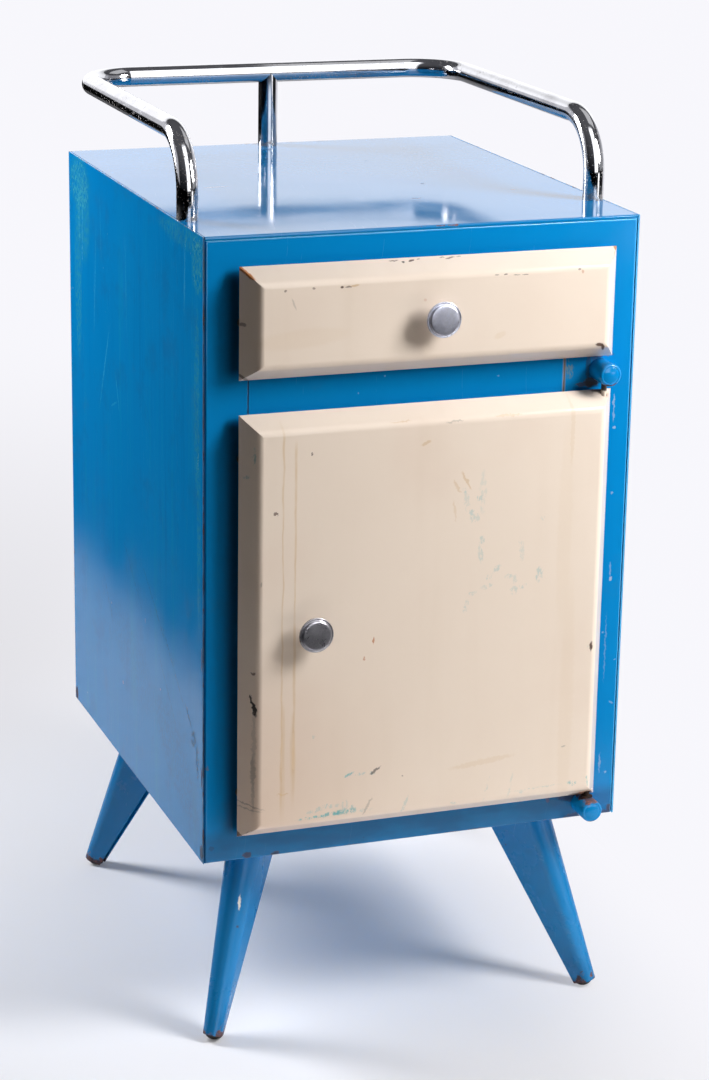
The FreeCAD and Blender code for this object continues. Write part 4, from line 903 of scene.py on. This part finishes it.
def make_screw_tree():
    """Puts a flat slotted head on each point, facing the rear, each with its slot turned differently."""
    g, given, out = geometry_tree("Screw heads", {"Radius": "f", "Height": "f", "Material": "m"})
    radius, height = given["Radius"], given["Height"]
    head = g.node("GeometryNodeMeshCone", {"Vertices": 28, "Side Segments": 2, "Fill Segments": 2,
                                           "Radius Top": radius, "Radius Bottom": g.mul(radius, 0.56),
                                           "Depth": height})
    slot = g.node("GeometryNodeMeshCube", {"Size": g.join(g.mul(radius, 2.4), g.mul(radius, 0.28), height)})
    raised = g.node("GeometryNodeTransform", {"Geometry": slot.outputs[0],
                                              "Translation": g.join(0.0, 0.0, g.mul(height, 0.9))})
    cut = g.node("GeometryNodeMeshBoolean", operation="DIFFERENCE")
    g.put(head.outputs[0], cut.inputs["Mesh 1"])
    g.put(raised.outputs[0], cut.inputs["Mesh 2"])
    turn = g.join(-math.pi / 2, g.mul(g.node("GeometryNodeInputIndex").outputs[0], 0.7), 0.0)
    spread = g.node("GeometryNodeInstanceOnPoints", {"Points": given["Geometry"], "Instance": cut.outputs[0],
                                                     "Rotation": turn})
    close_tree(g, spread.outputs[0], given["Material"], out)
    return g.tree


def grow(name, points, edges, tree, values):
    """Applies a geometry node tree to a wire of points and edges; what comes out has no doubled
    points, and its faces look outwards."""
    wire = bpy.data.meshes.new(name)
    wire.from_pydata(points, edges, [])
    source = new_object(name + "_source", wire)
    modifier = source.modifiers.new("Grow", "NODES")
    modifier.node_group = tree
    for item in tree.interface.items_tree:
        if item.in_out == "INPUT" and item.name in values:
            modifier[item.identifier] = values[item.name]
    bpy.context.view_layer.update()
    ready = source.evaluated_get(bpy.context.evaluated_depsgraph_get())
    result = bpy.data.meshes.new_from_object(ready)
    bpy.data.objects.remove(source)
    shape = bmesh.new()
    shape.from_mesh(result)
    bmesh.ops.remove_doubles(shape, verts=shape.verts, dist=1e-7)
    bmesh.ops.recalc_face_normals(shape, faces=shape.faces)
    shape.to_mesh(result)
    shape.free()
    return new_object(name, result)


# ------------------------------------------------------------------ operators
class CABINET_OT_finishes(Operator):
    """Builds the shared node groups and every finish"""
    bl_idname = "cabinet.finishes"
    bl_label = "Finishes"

    def execute(self, context):
        make_groups()
        FINISH.update(make_blue_materials())
        FINISH.update(make_cream_materials())
        FINISH.update({
            "inside": make_inside_material(),
            "chrome": make_chrome_material(),
            "drawer_knob": make_knob_material("aluminium_drawer_knob", "drawer_knob", (1, 1, 1), 0.30),
            # The door knob's aluminium is a darker, warmer copy of the drawer knob's: painted shade.
            "door_knob": make_knob_material("aluminium_door_knob", "door_knob", (0.66, 0.63, 0.58), 0.26),
            "steel": make_steel_material("plated_steel", 0.2),
            # Rusted pieces darkened to 0.3 of their colour: painted shade.
            "rusty": make_steel_material("rusted_steel", 0.9, 0.3),
            "painted_pin": make_pin_material(),
            "rubber": make_plain_material(
                "black_rubber", (0.012, 0.011, 0.011), (0.055, 0.048, 0.042), (0.45, 0.7),
                noise=(120.0, 5.0, 0.65), step=(0.45, 0.75), relief=0.00006),
            "catch": make_plain_material(
                "moulded_catch", (0.62, 0.60, 0.54), (0.50, 0.47, 0.40), (0.4, 0.55)),
            "magnet": make_plain_material(
                "ground_magnet", (0.06, 0.06, 0.06), (0.03, 0.03, 0.03), (0.45, 0.6), metallic=0.4),
        })
        return {"FINISHED"}


class CABINET_OT_carcass(Operator):
    """Side panels, top, back, bottom, face frame and middle rail in blue enamel"""
    bl_idname = "cabinet.carcass"
    bl_label = "Carcass"

    def execute(self, context):
        for node, finish in (("side_panel_left", "side"), ("side_panel_right", "side"), ("top_panel", "top"),
                             ("face_frame", "face"), ("middle_rail", "face"), ("back_panel", "back"),
                             ("bottom_panel", "side")):
            dressed(node, finish)
        return {"FINISHED"}


class CABINET_OT_legs(Operator):
    """Four folded legs with their glides and bolts"""
    bl_idname = "cabinet.legs"
    bl_label = "Legs"

    def execute(self, context):
        for corner in ("front_left", "front_right", "rear_left", "rear_right"):
            dressed(f"leg_{corner}", "leg")
            dressed(f"foot_glide_{corner}", "rubber")
        dressed("leg_bolts", "steel")
        dressed("leg_nuts", "steel")
        return {"FINISHED"}


class CABINET_OT_rail(Operator):
    """Chromed gallery rail, its rear post, studs and nuts"""
    bl_idname = "cabinet.rail"
    bl_label = "Gallery rail"

    def execute(self, context):
        sizes = context.scene.cabinet_sizes
        radius = sizes.tube_radius
        x, z = RAIL_HIGH.x - radius, RAIL_HIGH.z - radius
        front, rear = RAIL_LOW.y + radius, RAIL_HIGH.y - radius
        post = (POST_LOW.y + POST_HIGH.y) / 2
        tree = make_tube_tree()
        for name, node, corners in (
                ("gallery_rail", "rail_tube", [(-x, front, TOP), (-x, front, z), (-x, rear, z), (x, rear, z),
                                               (x, front, z), (x, front, TOP)]),
                ("gallery_rear_post", "rail_rear_post", [(0, post, TOP), (0, post, z)])):
            steps = [(k, k + 1) for k in range(len(corners) - 1)]
            piece = grow(name, corners, steps, tree, {
                "Radius": radius, "Bend": sizes.rail_bend, "Sides": TUBE_SIDES, "Steps": BEND_STEPS,
                "Material": FINISH["chrome"]})
            settle(piece, "chrome", "cabinet")
            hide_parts(node)
        for node in ("rail_studs", "rail_nuts"):
            dressed(node, "steel")
        return {"FINISHED"}


class CABINET_OT_pans(Operator):
    """Door and drawer front in cream enamel, with their inner panels"""
    bl_idname = "cabinet.pans"
    bl_label = "Door and drawer front"

    def execute(self, context):
        dressed("door_skin", "door")
        dressed("drawer_front", "drawer")
        for node in ("door_inner_panel", "drawer_front_inner"):
            paint(node, "inside")
        for node in ("door_panel_screws", "drawer_front_screws", "catch_strike"):
            paint(node, "steel")
        for node in ("pivot_block_upper", "pivot_block_lower"):
            paint(node, "rusty")
        return {"FINISHED"}


class CABINET_OT_knobs(Operator):
    """Two turned knobs and their screws"""
    bl_idname = "cabinet.knobs"
    bl_label = "Knobs"

    def execute(self, context):
        rim = context.scene.cabinet_sizes.knob_rim
        neck, foot = 5 * MM, 7 * MM
        for node in ("drawer_knob", "door_knob"):
            low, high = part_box(node)
            radius, stand = (high.x - low.x) / 2, high.y - low.y
            under, lip = stand - 5.2 * MM, stand - 2.3 * MM
            shoulder, crown = radius - 2.05 * MM - rim, 0.35 * MM
            profile = [(0, 0), (foot, 0), (foot, 1.0 * MM)]
            profile += arc((foot, 3 * MM), 2 * MM, -90, -180, 6)
            profile += [(neck, under - 3.4 * MM)]
            profile += arc((neck + 3.4 * MM, under - 3.4 * MM), 3.4 * MM, 180, 90, 6)
            profile += [(radius - 1.4 * MM, under + 0.5 * MM)]
            profile += arc((radius - 0.7 * MM, under + 1.2 * MM), 0.7 * MM, -90, 0, 4)
            profile += arc((radius - 0.6 * MM, lip - 0.6 * MM), 0.6 * MM, 0, 90, 6)
            profile += arc((radius - 1.5 * MM, lip + 0.35 * MM), 0.6 * MM, -60, -150, 5)
            profile += arc((shoulder, stand - crown - rim), rim, 10, 84, 12)
            profile += [(shoulder * (1 - k / 5), stand - crown * (1 - k / 5) ** 2) for k in range(1, 6)]
            turned(node, profile, high.y, node, 50)
            paint(f"{node}_screw", "steel")
        return {"FINISHED"}


class CABINET_OT_hinges(Operator):
    """Hinge posts, pins, thrust washer and nuts"""
    bl_idname = "cabinet.hinges"
    bl_label = "Hinges"

    def execute(self, context):
        turn, stud = 2.3 * MM, 4.0 * MM
        for node in ("hinge_post_upper", "hinge_post_lower"):
            low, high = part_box(node)
            radius, stand, root = (high.x - low.x) / 2, FRONT - low.y, FRONT - high.y
            profile = [(0, root), (stud, root), (stud, 0), (radius, 0), (radius, stand - turn)]
            profile += arc((radius - turn, stand - turn), turn, 8, 80, 9)
            profile += [(radius - turn - 0.5 * MM, stand - 0.25 * MM), (radius - turn - 0.9 * MM, stand),
                        (0, stand)]
            turned(node, profile, FRONT, "post", 40)
        dressed("hinge_pin_upper", "painted_pin")
        for node in ("hinge_pin_lower", "thrust_washer"):
            dressed(node, "rusty")
        dressed("hinge_post_nuts", "steel")
        return {"FINISHED"}


class CABINET_OT_inside(Operator):
    """Shelf, brackets, drawer box, deck and runners"""
    bl_idname = "cabinet.inside"
    bl_label = "Inside"

    def execute(self, context):
        for node in ("drawer_deck", "drawer_runner_left", "drawer_runner_right", "shelf", "shelf_bracket_left",
                     "shelf_bracket_right", "drawer_side_left", "drawer_side_right", "drawer_bottom",
                     "drawer_back"):
            paint(node, "inside")
        return {"FINISHED"}


class CABINET_OT_fittings(Operator):
    """Catch, rubber buffers and the screws of the back panel"""
    bl_idname = "cabinet.fittings"
    bl_label = "Fittings"

    def execute(self, context):
        paint("catch_housing", "catch")
        paint("catch_magnet", "magnet")
        for node in ("catch_pole_plates", "catch_screws"):
            paint(node, "steel")
        for node in ("door_buffers", "drawer_buffers"):
            dressed(node, "rubber")
        low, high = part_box("back_panel_screws")
        radius, depth = context.scene.cabinet_sizes.screw_head, 0.8 * MM
        spots = [(x, BACK - depth, low.z + radius + k * (high.z - low.z - 2 * radius) / 2)
                 for x in (low.x + radius, high.x - radius) for k in range(3)]
        heads = grow("back_screw_heads", spots, [], make_screw_tree(),
                     {"Radius": radius, "Height": depth, "Material": FINISH["steel"]})
        settle(heads, "steel", "cabinet")
        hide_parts("back_panel_screws")
        return {"FINISHED"}


class CABINET_OT_stage(Operator):
    """Camera, lamps, floor and surroundings"""
    bl_idname = "cabinet.stage"
    bl_label = "Studio"

    def execute(self, context):
        make_camera(context.scene)
        make_lamps(context.scene.cabinet_stage)
        make_floor()
        make_world(context.scene)
        context.scene.view_settings.view_transform = "Standard"
        return {"FINISHED"}


def make_camera(scene):
    """A camera that is turned by yaw, pitch and roll from a level view along +Y."""
    stage = scene.cabinet_stage
    ahead = Vector((math.sin(stage.yaw) * math.cos(stage.pitch), math.cos(stage.yaw) * math.cos(stage.pitch),
                    -math.sin(stage.pitch)))
    side = ahead.cross(Vector((0, 0, 1))).normalized()
    above = side.cross(ahead)
    right = side * math.cos(stage.roll) + above * math.sin(stage.roll)
    up = above * math.cos(stage.roll) - side * math.sin(stage.roll)
    camera = bpy.data.cameras.new("camera")
    camera.lens, camera.sensor_width = stage.lens, 36
    holder = new_object("camera", camera)
    turn = Matrix((right, up, -ahead)).transposed().to_4x4()
    holder.matrix_world = Matrix.Translation(stage.camera_place) @ turn
    scene.camera = holder


# Lamps: name, place, what it looks at, size, watts or the setting with them, colour, seen by shiny pieces
LAMPS = (
    ("key_lamp", (0.87, -0.83, 1.29), (0, -0.22, 0.50), (0.40, 0.65), "key", (1.0, 0.985, 0.96), True),
    ("side_lamp", (-0.98, 0.80, 1.15), (-0.2, 0, 0.45), (0.40, 0.90), "side", (1, 1, 1), True),
    ("top_card", (0.80, 0.25, 1.90), (0.80, 0.25, 0.0), (0.9, 0.9), 1.5, (1, 1, 1), True),
    ("rear_lamp", (0.9, 2.6, 1.55), (0, 0, 0.75), (4.2, 1.7), "rear", (1, 1, 1), True),
    ("low_card", (2.0, -2.9, 0.32), (0.2, -0.2, 0.35), (0.9, 0.5), 3.0, (1, 1, 1), True),
    ("bounce_card", (0.15, -0.56, 0.02), (0.15, -0.56, 1.0), (1.4, 0.7), 0.22, (1.0, 0.90, 0.80), False),
    ("under_card", (0.02, -0.28, 0.02), (0.02, -0.28, 1.0), (0.5, 0.1), 0.24, (1.0, 0.90, 0.80), False),
    ("left_card", (-1.30, -1.30, 0.45), (-0.17, -0.22, 0.42), (0.8, 0.8), 1.9, (1.0, 0.86, 0.68), False),
    ("right_card", (1.25, -1.05, 0.15), (0, -0.22, 0.62), (0.7, 0.35), 4.2, (1.0, 0.93, 0.86), False),
    ("fill_lamp", (1.6, -3.4, 1.6), (0, 0, 0.45), (2.0, 2.0), "fill", (1, 1, 1), True),
)
FLOOR = 30.0  # half the floor's width


def make_lamp(name, place, target, size, power, color, glossy):
    """An oblong lamp at place that looks at target; shiny pieces see it only where glossy is true."""
    lamp = bpy.data.lights.new(name, "AREA")
    lamp.shape = "RECTANGLE"
    lamp.size, lamp.size_y = size
    lamp.energy, lamp.color = power, color
    holder = new_object(name, lamp)
    holder.location = place
    holder.rotation_mode = "QUATERNION"
    holder.rotation_quaternion = (Vector(target) - Vector(place)).to_track_quat("-Z", "Y")
    holder.visible_camera, holder.visible_glossy = False, glossy


def make_lamps(stage):
    for name, place, target, size, power, color, glossy in LAMPS:
        power = getattr(stage, power) if isinstance(power, str) else power
        make_lamp(name, place, target, size, power, color, glossy)


def make_floor():
    """Pale paper floor; shiny pieces see it end in the dark part of the room."""
    mesh = bpy.data.meshes.new("floor")
    corners = [(-FLOOR, -FLOOR, 0), (FLOOR, -FLOOR, 0), (FLOOR, FLOOR, 0), (-FLOOR, FLOOR, 0)]
    mesh.from_pydata(corners, [], [(0, 1, 2, 3)])
    material = bpy.data.materials.new("paper_floor")
    material.use_nodes = True
    tree = material.node_tree
    tree.nodes.remove(tree.nodes["Principled BSDF"])
    g = Graph(tree)
    place = g.node("ShaderNodeTexCoord").outputs["Object"]
    x, y, _ = g.split(place)
    rays = g.node("ShaderNodeLightPath").outputs
    seen, shiny = rays["Is Camera Ray"], rays["Is Glossy Ray"]
    inside = g.mul(g.ramp(x, -0.52, -0.44), g.ramp(g.add(y, g.mul(x, 0.18)), -0.76, -0.60))
    room = g.mix(g.ramp(x, -0.5, 1.4), (0.008, 0.009, 0.011), (0.13, 0.13, 0.14))
    paper = g.mix(g.ramp(x, -0.35, 0.05), (0.52, 0.52, 0.54), (0.62, 0.62, 0.65))
    soft = g.mix(inside, (0.08, 0.08, 0.085), (0.90, 0.885, 0.87))
    color = g.mix(shiny, soft, g.mix(inside, room, paper))
    color = g.mix(seen, color, (0.84, 0.85, 0.895))
    diffuse = g.node("ShaderNodeBsdfDiffuse", {"Color": color})
    # For the camera the floor glows dimmer toward the left and, most, to the left of the cabinet: painted shade
    # and a painted shadow of the cabinet on the floor.
    across = g.sub(g.mul(x, 0.94), g.mul(y, 0.34))
    floor_shadow = g.mul(g.ramp(across, -0.05, -0.45), g.ramp(y, 2.6, 0.8))
    shade = g.sub(g.ramp(x, -1.3, 0.5, 0.80, 0.975), g.mul(floor_shadow, 0.12))
    glow = g.node("ShaderNodeEmission", {"Color": (0.96, 0.955, 1.0), "Strength": shade})
    away = g.vector("LENGTH", g.vector("SUBTRACT", place, (0.20, 0.0, 0.0)))
    share = g.most(g.ramp(away, 0.40, 1.00, 0.12, 1.0), g.ramp(x, 0.02, 0.34))
    beyond = g.mul(shiny, g.mul(g.ramp(x, 0.45, 0.9), g.ramp(y, 0.0, 0.4)))
    lit = g.node("ShaderNodeMixShader", {0: g.most(g.mul(seen, share), beyond), 1: diffuse.outputs[0],
                                         2: glow.outputs[0]})
    g.put(lit.outputs[0], tree.nodes["Material Output"].inputs["Surface"])
    mesh.materials.append(material)
    new_object("floor", mesh)


def make_world(scene):
    """White behind the cabinet, dim all round, and nearly dark in what shiny pieces reflect."""
    scene.world = world = bpy.data.worlds.new("studio")
    world.use_nodes = True
    g = Graph(world.node_tree)
    rays = g.node("ShaderNodeLightPath").outputs
    across, depth, height = g.split(g.node("ShaderNodeTexCoord").outputs["Generated"])
    room = g.mix(g.ramp(height, 0.0, 0.85), (0.012, 0.013, 0.016), (0.11, 0.11, 0.12))
    front = g.mul(g.ramp(depth, -0.16, -0.34), g.ramp(across, 0.345, 0.337))
    room = g.mix(g.mul(front, g.ramp(across, -0.30, -0.10)), room, (2.5, 2.5, 2.55))
    sides = g.most(g.ramp(depth, 0.0, 0.3), g.mul(g.ramp(across, 0.55, 0.85), 0.5))
    room = g.mix(g.mul(sides, g.ramp(height, 0.52, 0.32)), room, (0.66, 0.66, 0.70))
    dim = g.mix(rays["Is Glossy Ray"], (0.020, 0.021, 0.024), room)
    color = g.mix(rays["Is Camera Ray"], dim, (0.90, 0.90, 0.94))
    g.put(color, world.node_tree.nodes["Background"].inputs["Color"])


class CABINET_PT_panel(Panel):
    """Lists the steps in the 3D view's sidebar"""
    bl_label = "Cabinet"
    bl_idname = "CABINET_PT_panel"
    bl_space_type = "VIEW_3D"
    bl_region_type = "UI"
    bl_category = "Cabinet"

    def draw(self, context):
        for operator in STEPS:
            self.layout.operator(operator.bl_idname)
        for group in GROUPS:
            values = getattr(context.scene, group)
            box = self.layout.box()
            for name in values.__annotations__:
                box.prop(values, name)


FINISH = {}
STEPS = (CABINET_OT_finishes, CABINET_OT_carcass, CABINET_OT_legs, CABINET_OT_rail, CABINET_OT_pans,
         CABINET_OT_knobs, CABINET_OT_hinges, CABINET_OT_inside, CABINET_OT_fittings, CABINET_OT_stage)
GROUPS = {"cabinet_sizes": CabinetSizes, "cabinet_colours": CabinetColours, "cabinet_stage": CabinetStage}


def register():
    for item in (*GROUPS.values(), *STEPS, CABINET_PT_panel):
        bpy.utils.register_class(item)
    for name, group in GROUPS.items():
        setattr(bpy.types.Scene, name, PointerProperty(type=group))


def unregister():
    for name in GROUPS:
        delattr(bpy.types.Scene, name)
    for item in reversed((*GROUPS.values(), *STEPS, CABINET_PT_panel)):
        bpy.utils.unregister_class(item)


def main():
    register()
    for step in STEPS:
        area, name = step.bl_idname.split(".")
        getattr(getattr(bpy.ops, area), name)()


if __name__ == "__main__":
    main()
